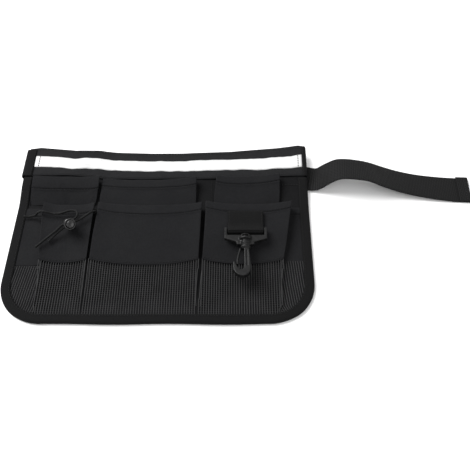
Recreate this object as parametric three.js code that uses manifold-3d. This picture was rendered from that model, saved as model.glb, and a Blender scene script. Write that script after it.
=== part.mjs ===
// A waist tool pouch lying on its back: a backing panel bound round its edge, a waistband with a reflective
// strip, three upper pockets, three pleated front pockets with mesh lower halves, a webbing belt, a swivel
// snap hook on a webbing tab, and an elastic draw cord with a cord lock.
// Millimetres. +X runs along the waistband, +Y towards its upper edge, +Z out of the pockets.
// The origin is on the back face of the belt, behind the middle of the waistband.
import * as THREE from 'three';
import { mergeVertices } from 'three/addons/utils/BufferGeometryUtils.js';
import Module from 'manifold-3d';

const wasm = await Module();
wasm.setup();

// Driving dimensions
const GAP = 0.35;
const SEAT = 0.45;
const POUCH = { left: -161.2, right: 163.6, bottom: -211, corner: 48 };
const PANEL = { under: 1.9, thick: 1.5, inset: 1.55, shortfall: 1.6 };
const BINDING = { width: 10.5, thick: 1.2, under: 8, upperEnd: -27.5 };
const BAND = { thick: 1.3, backEdge: 6.6, left: -159.4, right: 161.8, fold: 2, steps: 5 };
const STRIP = { thick: 0.5, left: -151, right: 158.5 };
const BAND_END = { thick: 1.2, low: -26.8 };
const LEFT_END = { side: -1, rim: POUCH.left, width: 12.2, over: 2.3, short: 1.4 };
const RIGHT_END = { side: 1, rim: POUCH.right, width: 5.5, over: 0.4, short: 0.7 };
const WALL = 1.2;
const HEM = 2;
const WEBBING = { width: 35, thick: 1.6 };
const BUCKLE = { x: -126, y: -14, z: 2.9, length: 28, width: 46, thick: 1.9, window: [9, 40], bar: 2.4 };
const TAB = { left: 73.3, right: 111.5, thick: 1.3, top: -81.5, join: -99, dip: 2.8 };
const BAR = { y: -108, z: 17.7, radius: 2 };
const LOOP = { left: 69.9, right: 114.9, ear: 2.7, earTop: -105, low: -119, thick: 4.4, z: 18.7 };
const YOKE = { top: -114.4, waist: 9.6, waistY: -123.4, footY: -125.6, foot: 8.4, bevel: 0.6 };
const NECK = { x: 91.9, z: 20, bossTop: -115.4, bossEnd: -126.7, bossRadius: 6.6, bore: 3.4, pin: 3.05 };
const BOSS_WINDOW = { y: -118.4, floor: 2.4, width: 6.4, high: 2.6, deep: 6 };
const HOOK = { thick: 6.4, bevel: 0.5, eyeRight: 90.4 };
const GATE = { thick: 1.9, deep: 4.6, top: -132.6 };
const LOCK = { lean: 45, heading: 216.87, radius: 6, length: 14.5, holeDepth: 10.4 };
const LOCK_HOLE = [-97.5, -99.5, 19.4];
const BUTTON = { radius: 4.4, bore: 4.75, out: 4, deep: 4, boreDepth: 8.2 };
const CORD = { diameter: 2.5, sides: 8, slotHigh: 3.3, slotWide: 6.5 };

// The curl of the panel's upper corners: how far each rises, and over which stretch of X and Y
const CURLS = [
  { side: -1, rise: 5.6, fromX: 58, toX: 110, fromY: -67, toY: -33 },
  { side: 1, rise: 10, fromX: 70, toX: 165, fromY: -80, toY: 22 },
];

// The waistband's edges and the strip's edges along X
const BAND_EDGES = [
  { x: -163, top: 14.6, low: -25.6, stripHigh: 3.4, stripLow: -12.4 },
  { x: -148, top: 17.2, low: -25.8, stripHigh: 3.2, stripLow: -12.6 },
  { x: -121, top: 14.4, low: -25.4, stripHigh: 1.9, stripLow: -14 },
  { x: -106, top: 12.8, low: -25.6, stripHigh: -0.9, stripLow: -16.2 },
  { x: -92, top: 14.3, low: -25.9, stripHigh: 1.7, stripLow: -13.9 },
  { x: -79, top: 16, low: -26.1, stripHigh: 3, stripLow: -13.2 },
  { x: -51, top: 14.1, low: -26.2, stripHigh: 0.8, stripLow: -14.2 },
  { x: -16, top: 13, low: -26.3, stripHigh: -0.2, stripLow: -15.4 },
  { x: 19, top: 13.2, low: -26, stripHigh: 0, stripLow: -15 },
  { x: 40, top: 14.4, low: -25.8, stripHigh: 1.8, stripLow: -14 },
  { x: 90, top: 16.5, low: -25.6, stripHigh: 2.6, stripLow: -12.9 },
  { x: 104, top: 16.4, low: -25.6, stripHigh: 1.6, stripLow: -14.6 },
  { x: 131, top: 15.4, low: -25.4, stripHigh: 0.9, stripLow: -15 },
  { x: 146, top: 16.2, low: -25.4, stripHigh: 1.4, stripLow: -15.3 },
  { x: 155, top: 17.3, low: -25.4, stripHigh: 3, stripLow: -13.8 },
  { x: 165, top: 15, low: -25.4, stripHigh: 3.4, stripLow: -13.4 },
];

// Pocket sections from the mouth down. left and right are the folds, edge and mid the heights of the folds
// and of the middle of the face, dip how far the section hangs lower in its middle, tuck how far the seam
// lies under the fold, wall the thickness of the cloth
const UPPER_LEFT = [
  { y: -29.2, left: -148, right: -72.9, leftEdge: 9.2, edge: 14.8, mid: 10.8, dip: 2, tuck: 3, wall: HEM },
  { y: -35, left: -148, right: -72.9, leftEdge: 9.2, edge: 14.2, mid: 10.8, dip: 2, tuck: 3, wall: HEM },
  { y: -40, left: -148, right: -73.1, leftEdge: 8.8, edge: 13, mid: 10.4, dip: 1.8, tuck: 3, wall: HEM },
  { y: -47, left: -148, right: -73.7, leftEdge: 8, edge: 10.8, mid: 9, dip: 1, tuck: 2.4, wall: WALL },
  { y: -54, left: -148, right: -74.2, leftEdge: 7, edge: 8.4, mid: 7.6, dip: 0.5, tuck: 1.4, wall: WALL },
  { y: -60, left: -148, right: -75.2, leftEdge: 6.4, edge: 6.6, mid: 6.4, dip: 0, tuck: 0, wall: WALL },
  { y: -64, left: -148, right: -76.6, leftEdge: 5.8, edge: 5.8, mid: 5.8, dip: 0, tuck: -1, wall: WALL },
  { y: -66, left: -119, right: -82.4, leftEdge: 5.7, edge: 5.7, mid: 5.7, dip: 0, tuck: -1, wall: WALL },
  { y: -118, left: -119, right: -83, leftEdge: 5.2, edge: 5.2, mid: 5.2, dip: 0, tuck: -1.2, wall: WALL },
];
const UPPER_CENTRE = [
  { y: -29, left: -69.4, right: 37, leftEdge: 9.2, edge: 14.4, mid: 10.4, dip: 2.2, tuck: 3, wall: HEM },
  { y: -41, left: -69.9, right: 37.4, leftEdge: 9, edge: 12.6, mid: 10.2, dip: 2, tuck: 3, wall: HEM },
  { y: -54, left: -70.8, right: 37.4, leftEdge: 8, edge: 9.2, mid: 7.8, dip: 0.8, tuck: 2, wall: WALL },
  { y: -64, left: -70.4, right: 37, leftEdge: 6.2, edge: 6.2, mid: 6.2, dip: 0, tuck: -1, wall: WALL },
  { y: -66, left: -62.6, right: 37, leftEdge: 6, edge: 6, mid: 6, dip: 0, tuck: -1, wall: WALL },
  { y: -118, left: -62.4, right: 36.4, leftEdge: 5.2, edge: 5.2, mid: 5.2, dip: 0, tuck: -1.2, wall: WALL },
];
const UPPER_RIGHT = [
  { y: -26.6, left: 60.4, right: 131.6, edge: 13.6, mid: 11.8, dip: 1.2, tuck: 3.4, wall: HEM },
  { y: -36, left: 59.4, right: 131.4, edge: 12.8, mid: 11.2, dip: 1.2, tuck: 3, wall: HEM },
  { y: -52, left: 57.6, right: 131.2, edge: 9.2, mid: 8.2, dip: 0.8, tuck: 2, wall: WALL },
  { y: -65, left: 58.4, right: 130, edge: 6, mid: 6, dip: 0, tuck: -1, wall: WALL },
  { y: -118, left: 58.4, right: 128, edge: 5.2, mid: 5.2, dip: 0, tuck: -1.2, wall: WALL },
];
const FRONT_LEFT = [
  { y: -67.6, left: -129, right: -73.9, edge: 16.8, mid: 14.2, dip: 2.4, tuck: 3.6, wall: HEM },
  { y: -80, left: -129.6, right: -74.2, edge: 16.2, mid: 13.4, dip: 2.4, tuck: 3.6, wall: HEM },
  { y: -110, left: -127.6, right: -74.1, edge: 13, mid: 10.2, dip: 2.4, tuck: 3.2, wall: WALL },
  { y: -138, left: -125.4, right: -74, edge: 10, mid: 7.6, dip: 3, tuck: 2.8, wall: WALL },
  { y: -165, left: -122.4, right: -74.2, edge: 7.4, mid: 6, dip: 2, tuck: 1.2, wall: WALL },
  { y: -199.6, left: -117.4, right: -75, edge: 5.2, mid: 5.2, dip: 0, tuck: -1.5, wall: WALL },
];
const FRONT_CENTRE = [
  { y: -67.6, left: -68.4, right: 45.6, edge: 17.4, mid: 13.6, dip: 2.6, tuck: 3.6, wall: HEM },
  { y: -80, left: -68.6, right: 44.9, edge: 16.8, mid: 13.2, dip: 2.8, tuck: 3.6, wall: HEM },
  { y: -110, left: -70.2, right: 44.2, edge: 13.6, mid: 10.2, dip: 4, tuck: 3.2, wall: WALL },
  { y: -138, left: -71, right: 43.4, edge: 10.4, mid: 7.4, dip: 5.6, tuck: 2.8, wall: WALL },
  { y: -165, left: -71.4, right: 42.8, edge: 7.4, mid: 6, dip: 3, tuck: 1.2, wall: WALL },
  { y: -199.6, left: -70.6, right: 41, edge: 5.2, mid: 5.2, dip: 0, tuck: -1.5, wall: WALL },
];
const FRONT_RIGHT = [
  { y: -66.6, left: 50.2, right: 141.4, edge: 18, mid: 15.2, dip: 3, tuck: 4.6, wall: HEM },
  { y: -78, left: 50.2, right: 140.6, edge: 17.6, mid: 15, dip: 3, tuck: 4.6, wall: HEM },
  { y: -110, left: 49.2, right: 137, edge: 14.8, mid: 13.6, dip: 2.6, tuck: 4, wall: WALL },
  { y: -122, left: 48.8, right: 135.4, edge: 13, mid: 10.4, dip: 3, tuck: 3.6, wall: WALL },
  { y: -131, left: 48.4, right: 134.2, edge: 11.6, mid: 8, dip: 3.6, tuck: 3.2, wall: WALL },
  { y: -138, left: 48, right: 133.2, edge: 10.6, mid: 7.2, dip: 4.6, tuck: 3, wall: WALL },
  { y: -165, left: 46.6, right: 129.6, edge: 7.6, mid: 5.9, dip: 2.4, tuck: 1.2, wall: WALL },
  { y: -199.6, left: 45.4, right: 119.4, edge: 5.2, mid: 5.2, dip: 0, tuck: -1.5, wall: WALL },
];
const SEAM_Y = -138;

// The belt's middle line from the edge of the panel to its free end, with the roll of its section
const BELT_RUN = [
  { x: -104, y: -14, z: 0.8, roll: 0 },
  { x: -60, y: -14, z: 0.8, roll: 0 },
  { x: 0, y: -14, z: 0.8, roll: 0 },
  { x: 95, y: -14.4, z: 0.8, roll: 0 },
  { x: 130, y: -17, z: 0.8, roll: 0 },
  { x: 150, y: -19.8, z: 0.8, roll: 0 },
  { x: 160, y: -21.4, z: 0.8, roll: 0 },
  { x: 168, y: -23.5, z: 1.6, roll: -2.3 },
  { x: 176, y: -24.6, z: 3.2, roll: -4.5 },
  { x: 186, y: -24.5, z: 11.9, roll: -6.2 },
  { x: 196, y: -24.5, z: 19.4, roll: -7.5 },
  { x: 206, y: -25.3, z: 22.1, roll: -10.1 },
  { x: 218, y: -26.6, z: 22, roll: -10.8 },
  { x: 232, y: -27.9, z: 20.1, roll: -11.9 },
  { x: 248, y: -29.8, z: 14.1, roll: -9.8 },
  { x: 266, y: -31.8, z: 8.2, roll: -8.4 },
  { x: 286, y: -34.2, z: 4.1, roll: -6.6 },
  { x: 308, y: -36.9, z: 2.3, roll: -4.2 },
  { x: 330, y: -38.9, z: 1.2, roll: -1.2 },
  { x: 347.6, y: -39.5, z: 0.8, roll: 0 },
];
const BELT_HEM = { length: 12, slope: 0.034 };
const BELT_LOOP = { endX: -80, joinX: -96, partX: -104, partZ: 3.9, inBar: 0.9 };

// The draw cord's two strands, each from its seam through the cord lock to its free end
const CORD_LEFT_ROUTE = [
  [-151.6, -81.5, 7.7], [-144, -81.4, 7.8], [-138, -81.6, 10.4], [-133.8, -82.2, 16.2], [-128, -83, 19.4],
  [-117, -84.4, 17.4], [-108, -84.9, 18.6], [-100.6, -83.8, 20.6], [-94.2, -83.5, 21.6], [-90.4, -85.1, 22],
  [-88.8, -88.9, 21.8], [-89.6, -91.6, 21.2], [-91, -93.2, 20.7], [-98.18, -98.59, 20.53],
  [-104.6, -103.4, 20.53], [-109.6, -107.6, 18.2], [-116, -112, 15.6], [-123, -119, 14.6],
  [-129.6, -126.2, 14.2],
];
const CORD_RIGHT_ROUTE = [
  [-71.4, -79.6, 6.2], [-71.4, -80.4, 12], [-71.5, -81.8, 17.8], [-74.6, -84.6, 20.2], [-80, -88.6, 19.6],
  [-85.6, -92.4, 18.4], [-90.4, -95.6, 18.27], [-96.82, -100.41, 18.27], [-103.2, -105.2, 18.27],
  [-108.6, -109.4, 16.2], [-113.6, -113.6, 13.8], [-117.4, -118.4, 12.8],
];

// Colours, roughness and metalness of the materials
const FINISHES = {
  cloth: { color: 0x1b1c20, roughness: 0.85, metalness: 0 },
  webbing: { color: 0x161616, roughness: 0.8, metalness: 0 },
  mesh: { color: 0x141416, roughness: 0.8, metalness: 0 },
  reflective: { color: 0xe8e8e8, roughness: 0.4, metalness: 0 },
  plastic: { color: 0x1a1a1a, roughness: 0.4, metalness: 0 },
  cord: { color: 0x121214, roughness: 0.75, metalness: 0 },
};

const pouch = new THREE.Group();
const AXIS_X = new THREE.Vector3(1, 0, 0);
const AXIS_Y = new THREE.Vector3(0, 1, 0);
const AXIS_Z = new THREE.Vector3(0, 0, 1);

function addPiece(name, finish, geometry, parent = pouch) {
  const mesh = new THREE.Mesh(geometry, new THREE.MeshStandardMaterial(FINISHES[finish]));
  mesh.name = name;
  parent.add(mesh);
}

// A column of a table at a place along its key, on straight lines between the rows
function at(rows, key, column, place) {
  const ahead = rows.findIndex((row) => row[key] >= place);
  if (ahead === 0) return rows[0][column];
  if (ahead < 0) return rows[rows.length - 1][column];
  const [a, b] = [rows[ahead - 1], rows[ahead]];
  return THREE.MathUtils.mapLinear(place, a[key], b[key], a[column], b[column]);
}

const bandEdge = (column, x) => at(BAND_EDGES, 'x', column, x);

function curl(x, y) {
  let rise = 0;
  for (const bend of CURLS) {
    const outwards = THREE.MathUtils.smoothstep(bend.side * x, bend.fromX, bend.toX);
    const upwards = THREE.MathUtils.smoothstep(y, bend.fromY, bend.toY);
    rise += bend.rise * outwards * upwards;
  }
  return rise;
}

const panelTop = (x, y) => PANEL.under + PANEL.thick + curl(x, y);

// The X of a line that runs a given inset inside the pouch's outline, on the left (-1) or right (1)
function sideX(y, inset, side) {
  const edge = side < 0 ? POUCH.left : POUCH.right;
  const drop = POUCH.bottom + POUCH.corner - y;
  if (drop <= 0) return edge - side * inset;
  const reach = Math.sqrt(Math.max((POUCH.corner - inset) ** 2 - drop ** 2, 0));
  return edge - side * (POUCH.corner - reach);
}

// The closed outline of a sheet of a given thickness that follows an open line of points
function sheetRing(line, thickness, across) {
  const turns = [];
  for (let i = 0; i + 1 < line.length; i += 1) {
    const step = line[i + 1].clone().sub(line[i]);
    turns.push(new THREE.Vector3().crossVectors(across, step).normalize());
  }
  const offsets = line.map((point, i) => {
    const before = turns[Math.max(i - 1, 0)];
    const after = turns[Math.min(i, turns.length - 1)];
    return before.clone().add(after).multiplyScalar(thickness / 2 / (1 + before.dot(after)));
  });
  const upper = line.map((point, i) => point.clone().add(offsets[i]));
  const lower = line.map((point, i) => point.clone().sub(offsets[i]));
  return [...upper, ...lower.reverse()];
}

// The triangles that close a ring made of a line of points and its partner line, which runs back
function capFaces(count) {
  const faces = [];
  for (let i = 0; i + 1 < count / 2; i += 1) {
    faces.push([i, i + 1, count - 2 - i], [i, count - 2 - i, count - 1 - i]);
  }
  return faces;
}

// A closed body through rings of equal point counts, capped at both ends
function loft(rings) {
  const count = rings[0].length;
  const index = [];
  for (let i = 0; i + 1 < rings.length; i += 1) {
    for (let j = 0; j < count; j += 1) {
      const [a, b] = [i * count + j, i * count + ((j + 1) % count)];
      index.push(a, b, b + count, a, b + count, a + count);
    }
  }
  const last = (rings.length - 1) * count;
  for (const [a, b, c] of capFaces(count)) index.push(c, b, a, last + a, last + b, last + c);
  const geometry = new THREE.BufferGeometry().setFromPoints(rings.flat());
  geometry.setIndex(facingOut(geometry, index));
  return geometry;
}

// The same triangles, turned over if they enclose a negative volume
function facingOut(geometry, index) {
  const spots = geometry.attributes.position;
  const corner = (i) => new THREE.Vector3().fromBufferAttribute(spots, i);
  let volume = 0;
  for (let i = 0; i < index.length; i += 3) {
    const [a, b, c] = [corner(index[i]), corner(index[i + 1]), corner(index[i + 2])];
    volume += a.dot(b.cross(c));
  }
  return volume > 0 ? index : index.toReversed();
}

function toSolid(geometry) {
  const bare = geometry.clone();
  bare.deleteAttribute('normal');
  bare.deleteAttribute('uv');
  const merged = mergeVertices(bare, 1e-4);
  const vertProperties = new Float32Array(merged.attributes.position.array);
  const triVerts = new Uint32Array(merged.index.array);
  return new wasm.Manifold(new wasm.Mesh({ numProp: 3, vertProperties, triVerts }));
}

function toGeometry(solid) {
  const { vertProperties, triVerts } = solid.getMesh();
  const geometry = new THREE.BufferGeometry();
  geometry.setAttribute('position', new THREE.BufferAttribute(vertProperties, 3));
  geometry.setIndex(new THREE.BufferAttribute(triVerts, 1));
  return geometry;
}

function box(x, y, z, sizeX, sizeY, sizeZ) {
  return toSolid(new THREE.BoxGeometry(sizeX, sizeY, sizeZ).translate(x, y, z));
}

// A plate of an outline drawn from above, centred on a height
function plate(points, thick, z, bevel = 0) {
  const shape = new THREE.Shape(points.map(([x, y]) => new THREE.Vector2(x, y)));
  const settings = { depth: thick - 2 * bevel, bevelEnabled: bevel > 0, steps: 1, curveSegments: 8 };
  Object.assign(settings, { bevelThickness: bevel, bevelSize: bevel, bevelOffset: -bevel, bevelSegments: 1 });
  return new THREE.ExtrudeGeometry(shape, settings).translate(0, 0, z - thick / 2 + bevel);
}

// A turned piece about a line along Y, from rows of [radius, y]
function turned(profile, x, z, sides = 20) {
  const points = profile.map(([radius, y]) => new THREE.Vector2(radius, y));
  return new THREE.LatheGeometry(points, sides).translate(x, 0, z);
}

// The stations along X that the panel and the band share, closer together where the corners curl
const COLUMNS = [BAND.left, -148, -136, -121, -113, -106, -99, -92, -79, -65, -51, -16, 19, 40, 70, 80, 90,
  104, 118, 131, 146, 155, BAND.right];

// The Y of a line on the front of the waistband, from its lower edge (0) up to where it folds over (1)
function bandHeight(x, rise) {
  return THREE.MathUtils.lerp(bandEdge('low', x), bandEdge('top', x) - BAND.fold, rise);
}

// The backing panel, with its two curled upper corners
function backPanel() {
  const rows = [];
  for (let i = 0; i <= BAND.steps; i += 1) rows.push({ rise: 1 - i / BAND.steps });
  for (const y of [-30, -36, -42, -48, -54, -60, -66, -110, -163]) rows.push({ y });
  for (const degrees of [20, 38, 54, 68, 80, 90]) {
    const drop = (POUCH.corner - PANEL.inset) * Math.sin(THREE.MathUtils.degToRad(degrees));
    rows.push({ y: POUCH.bottom + POUCH.corner - drop });
  }
  const rings = rows.map(({ rise, y }) => {
    const [left, right] = [sideX(y ?? 0, PANEL.inset, -1), sideX(y ?? 0, PANEL.inset, 1)];
    const line = COLUMNS.map((station) => {
      const x = THREE.MathUtils.mapLinear(station, BAND.left, BAND.right, left, right);
      const height = y ?? bandHeight(station, rise) - rise * PANEL.shortfall;
      return new THREE.Vector3(x, height, panelTop(x, height));
    });
    const under = line.map((point) => point.clone().setZ(point.z - PANEL.thick));
    return [...line, ...under.reverse()];
  });
  return loft(rings);
}

// The tape folded round the panel's sides and lower edge
function edgeBinding() {
  const stations = [];
  const middleY = POUCH.bottom + POUCH.corner;
  for (const y of [BINDING.upperEnd, -36, -45, -54, -64, -110]) stations.push({ side: -1, y, degrees: 0 });
  for (let i = 0; i <= 8; i += 1) stations.push({ side: -1, y: middleY, degrees: i * 11.25 });
  for (let i = 8; i >= 0; i -= 1) stations.push({ side: 1, y: middleY, degrees: i * 11.25 });
  for (const y of [-110, -64, -54, -45, -36, BINDING.upperEnd]) stations.push({ side: 1, y, degrees: 0 });
  const rings = stations.map(({ side, y, degrees }) => {
    const angle = THREE.MathUtils.degToRad(degrees);
    const outwards = new THREE.Vector3(side * Math.cos(angle), -Math.sin(angle), 0);
    const centreX = side < 0 ? POUCH.left + POUCH.corner : POUCH.right - POUCH.corner;
    const rim = outwards.clone().multiplyScalar(POUCH.corner).add(new THREE.Vector3(centreX, y, 0));
    const half = BINDING.thick / 2;
    const top = PANEL.under + PANEL.thick + GAP + half;
    const section = [[BINDING.width, top], [1.4, top], [half, top - 0.8], [half, half + 0.8], [1.4, half],
      [BINDING.under, half]];
    const line = section.map(([inset, z]) => {
      const point = rim.clone().addScaledVector(outwards, -inset);
      return point.setZ(z + curl(point.x, point.y));
    });
    return sheetRing(line, BINDING.thick, new THREE.Vector3().crossVectors(AXIS_Z, outwards));
  });
  return loft(rings);
}

// The waistband: cloth over the front of the panel's upper edge, folded over it and down behind
function waistband() {
  const rings = COLUMNS.map((x) => {
    const top = bandEdge('top', x);
    const lift = SEAT + BAND.thick / 2;
    const line = [];
    for (let i = 0; i <= BAND.steps; i += 1) {
      const y = bandHeight(x, i / BAND.steps);
      line.push(new THREE.Vector3(x, y, panelTop(x, y) + lift));
    }
    line.push(new THREE.Vector3(x, top - BAND.thick / 2, panelTop(x, top) - PANEL.thick / 2 + 0.4));
    line.push(new THREE.Vector3(x, top - BAND.thick / 2, panelTop(x, top) - PANEL.thick / 2 - 0.4));
    for (const y of [top - BAND.fold, BAND.backEdge]) {
      line.push(new THREE.Vector3(x, y, panelTop(x, y) - PANEL.thick - lift));
    }
    return sheetRing(line, BAND.thick, AXIS_X);
  });
  return loft(rings);
}

// The reflective strip along the front of the waistband
function reflectiveStrip() {
  const stations = COLUMNS.filter((x) => x > STRIP.left && x < STRIP.right);
  const rings = [STRIP.left, ...stations, STRIP.right].map((x) => {
    const line = [];
    for (let i = 0; i <= 3; i += 1) {
      const y = THREE.MathUtils.lerp(bandEdge('stripLow', x), bandEdge('stripHigh', x), i / 3);
      line.push(new THREE.Vector3(x, y, panelTop(x, y) + SEAT + BAND.thick + GAP + STRIP.thick / 2));
    }
    return sheetRing(line, STRIP.thick, AXIS_X);
  });
  return loft(rings);
}

// The binding round one end of the waistband and panel
function bandEnd(end) {
  const { side, width } = end;
  const rim = end.rim + side * end.over;
  const half = BAND_END.thick / 2;
  const rings = [0, 0.2, 0.4, 0.6, 0.8, 1].map((rise) => {
    const edge = rim - side * 2;
    const y = THREE.MathUtils.lerp(BAND_END.low, bandEdge('top', edge) - end.short, rise);
    const top = SEAT + BAND.thick + GAP + half;
    const under = PANEL.thick + 2 * GAP + BAND.thick + half - 0.2;
    const section = [[width, top], [width / 2, top], [1.6, top], [half, top - 0.9], [half, 0.9 - under],
      [1.6, -under], [width, -under]];
    const line = section.map(([inset, z]) => {
      const x = rim - side * inset;
      return new THREE.Vector3(x, y, Math.max(z + panelTop(x, y), half + 0.02));
    });
    return sheetRing(line, BAND_END.thick, AXIS_Y);
  });
  return loft(rings);
}

// One pocket section: the seam flange if it has one, then the seam, the fold, the face, the fold and the seam
const FACE_STEPS = [0, 0.07, 0.2, 0.35, 0.5, 0.65, 0.8, 0.93, 1];

function pocketRing(row, flange) {
  const seat = SEAT + row.wall / 2;
  const put = (x, y, z) => new THREE.Vector3(x, y, z + curl(x, y));
  const low = PANEL.under + PANEL.thick + seat;
  const { leftEdge = row.edge } = row;
  const leftTuck = leftEdge < row.edge ? 0 : row.tuck;
  const line = [put(row.left + leftTuck, row.y, low)];
  for (const u of FACE_STEPS) {
    const x = THREE.MathUtils.lerp(row.left, row.right, u);
    const slack = 1 - Math.abs(2 * u - 1) ** 3;
    const fold = u < 0.5 ? leftEdge : row.edge;
    const height = THREE.MathUtils.lerp(fold, row.mid, slack) - row.wall / 2;
    line.push(put(x, row.y - row.dip * (1 - (2 * u - 1) ** 2), height));
  }
  line.push(put(row.right - row.tuck, row.y, low));
  if (flange < 0) line.unshift(put(sideX(row.y, BINDING.width + GAP, -1), row.y, low));
  if (flange > 0) line.push(put(sideX(row.y, BINDING.width + GAP, 1), row.y, low));
  return sheetRing(line, row.wall, AXIS_Y);
}

const upperPocket = (rows) => loft(rows.map((row) => pocketRing(row, 0)));

// A front pocket in two pieces that meet at the seam: the cloth above and the mesh below
function frontPocket(name, rows, flange) {
  const seam = rows.find((row) => row.y === SEAM_Y);
  const cloth = rows.filter((row) => row.y >= SEAM_Y);
  const mesh = [{ ...seam, y: SEAM_Y - 2 * GAP }];
  if (flange) {
    for (const y of [-165, -176, -186, -194, -199.6]) {
      const row = { y };
      const ordered = rows.toReversed();
      for (const column of Object.keys(seam)) row[column] ??= at(ordered, 'y', column, y);
      mesh.push(row);
    }
  } else {
    mesh.push(...rows.filter((row) => row.y < SEAM_Y));
  }
  addPiece(`${name}_cloth`, 'cloth', loft(cloth.map((row) => pocketRing(row, flange))));
  addPiece(`${name}_mesh`, 'mesh', loft(mesh.map((row) => pocketRing(row, flange))));
}

// A flat strap that follows a run of middle points, each with the roll of its section
function strap(run, width, thick) {
  const rings = run.map((stop, i) => {
    const before = run[Math.max(i - 1, 0)];
    const after = run[Math.min(i + 1, run.length - 1)];
    const along = new THREE.Vector3(after.x - before.x, after.y - before.y, after.z - before.z).normalize();
    const wide = new THREE.Vector3(-along.y * Math.sign(stop.heading), Math.abs(along.x) + 1e-9, 0);
    if (Math.abs(along.x) < 0.2) wide.set(stop.lean, 1, 0);
    wide.normalize().applyAxisAngle(along, THREE.MathUtils.degToRad(stop.roll * stop.heading));
    const rise = new THREE.Vector3().crossVectors(along, wide).normalize();
    const centre = new THREE.Vector3(stop.x, stop.y, stop.z);
    return [[1, 1], [1, -1], [-1, -1], [-1, 1]].map(([w, r]) => centre.clone()
      .addScaledVector(wide, w * width / 2).addScaledVector(rise, r * thick / 2));
  });
  return loft(rings);
}

// A half turn of a strap about a line along its width, from below up to above
function halfTurn(x, y, low, radius, side, lean, steps = 5) {
  const stops = [];
  for (let i = 1; i < steps; i += 1) {
    const angle = Math.PI * (i / steps - 0.5);
    const [reach, z] = [Math.cos(angle) * radius * side, low + radius + Math.sin(angle) * radius];
    stops.push({ x: x + reach, y: y - lean * reach, z, roll: 0, heading: 1, lean });
  }
  return stops;
}

// The belt: looped round the buckle's bar, along the back of the panel, and out to its hemmed free end
function belt() {
  const level = WEBBING.thick / 2;
  const barX = BUCKLE.x + (BUCKLE.length - BUCKLE.bar) / 2 - BELT_LOOP.inBar;
  const loopRadius = BUCKLE.z - level;
  const overLoop = level + WEBBING.thick + GAP;
  const run = [];
  const { endX, joinX, partX, partZ } = BELT_LOOP;
  const overBar = [barX + 0.6, level + 2 * loopRadius];
  for (const [x, z] of [[endX, overLoop], [joinX, overLoop], [partX, partZ], overBar]) {
    run.push({ x, y: BUCKLE.y, z, roll: 0, heading: -1, lean: 0 });
  }
  run.push(...halfTurn(barX, BUCKLE.y, level, loopRadius, -1, 0, 7).reverse());
  run.push({ x: barX + 0.6, y: BUCKLE.y, z: level, roll: 0, heading: 1, lean: 0 });
  for (const stop of BELT_RUN) run.push({ ...stop, heading: 1, lean: 0 });
  const end = BELT_RUN[BELT_RUN.length - 1];
  const { slope } = BELT_HEM;
  const hemRadius = (WEBBING.thick + GAP) / 2;
  run.push(...halfTurn(end.x + 0.1, end.y, level, hemRadius, 1, slope));
  for (const back of [0, BELT_HEM.length]) {
    const [x, y] = [end.x - back, end.y + back * slope];
    run.push({ x, y, z: level + 2 * hemRadius, roll: 0, heading: -1, lean: slope });
  }
  return strap(run, WEBBING.width, WEBBING.thick);
}

// The plain slide buckle on the belt's hidden end
function beltBuckle() {
  const { x, y, z, length, width, thick, bar } = BUCKLE;
  const [windowLength, windowWidth] = BUCKLE.window;
  const shift = (length - 2 * bar - windowLength) / 2;
  let frame = box(x, y, z, length, width, thick);
  for (const side of [-1, 1]) {
    frame = frame.subtract(box(x + side * shift, y, z, windowLength, windowWidth, 2 * thick));
  }
  return toGeometry(frame);
}

// The webbing tab: two layers sewn to the right pocket, looped round the hook's bar
function hookTab() {
  const ordered = FRONT_RIGHT.toReversed();
  const face = (y) => at(ordered, 'y', 'mid', y + TAB.dip);
  const half = TAB.thick / 2;
  const lower = (y) => face(y) + SEAT + half;
  const radius = BAR.radius + GAP + half;
  const upper = (y) => lower(y) + TAB.thick + GAP;
  const section = [[TAB.top, upper(TAB.top)], [TAB.join, upper(TAB.join)]];
  for (let i = 0; i <= 8; i += 1) {
    const angle = Math.PI * (0.5 + i / 8);
    section.push([BAR.y + Math.cos(angle) * radius, BAR.z + Math.sin(angle) * radius]);
  }
  section.push([TAB.join, lower(TAB.join)], [TAB.top, lower(TAB.top)]);
  const rings = [TAB.left, TAB.right].map((x) => {
    const line = section.map(([y, z]) => new THREE.Vector3(x, y, z));
    return sheetRing(line, TAB.thick, AXIS_X);
  });
  return loft(rings);
}

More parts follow.
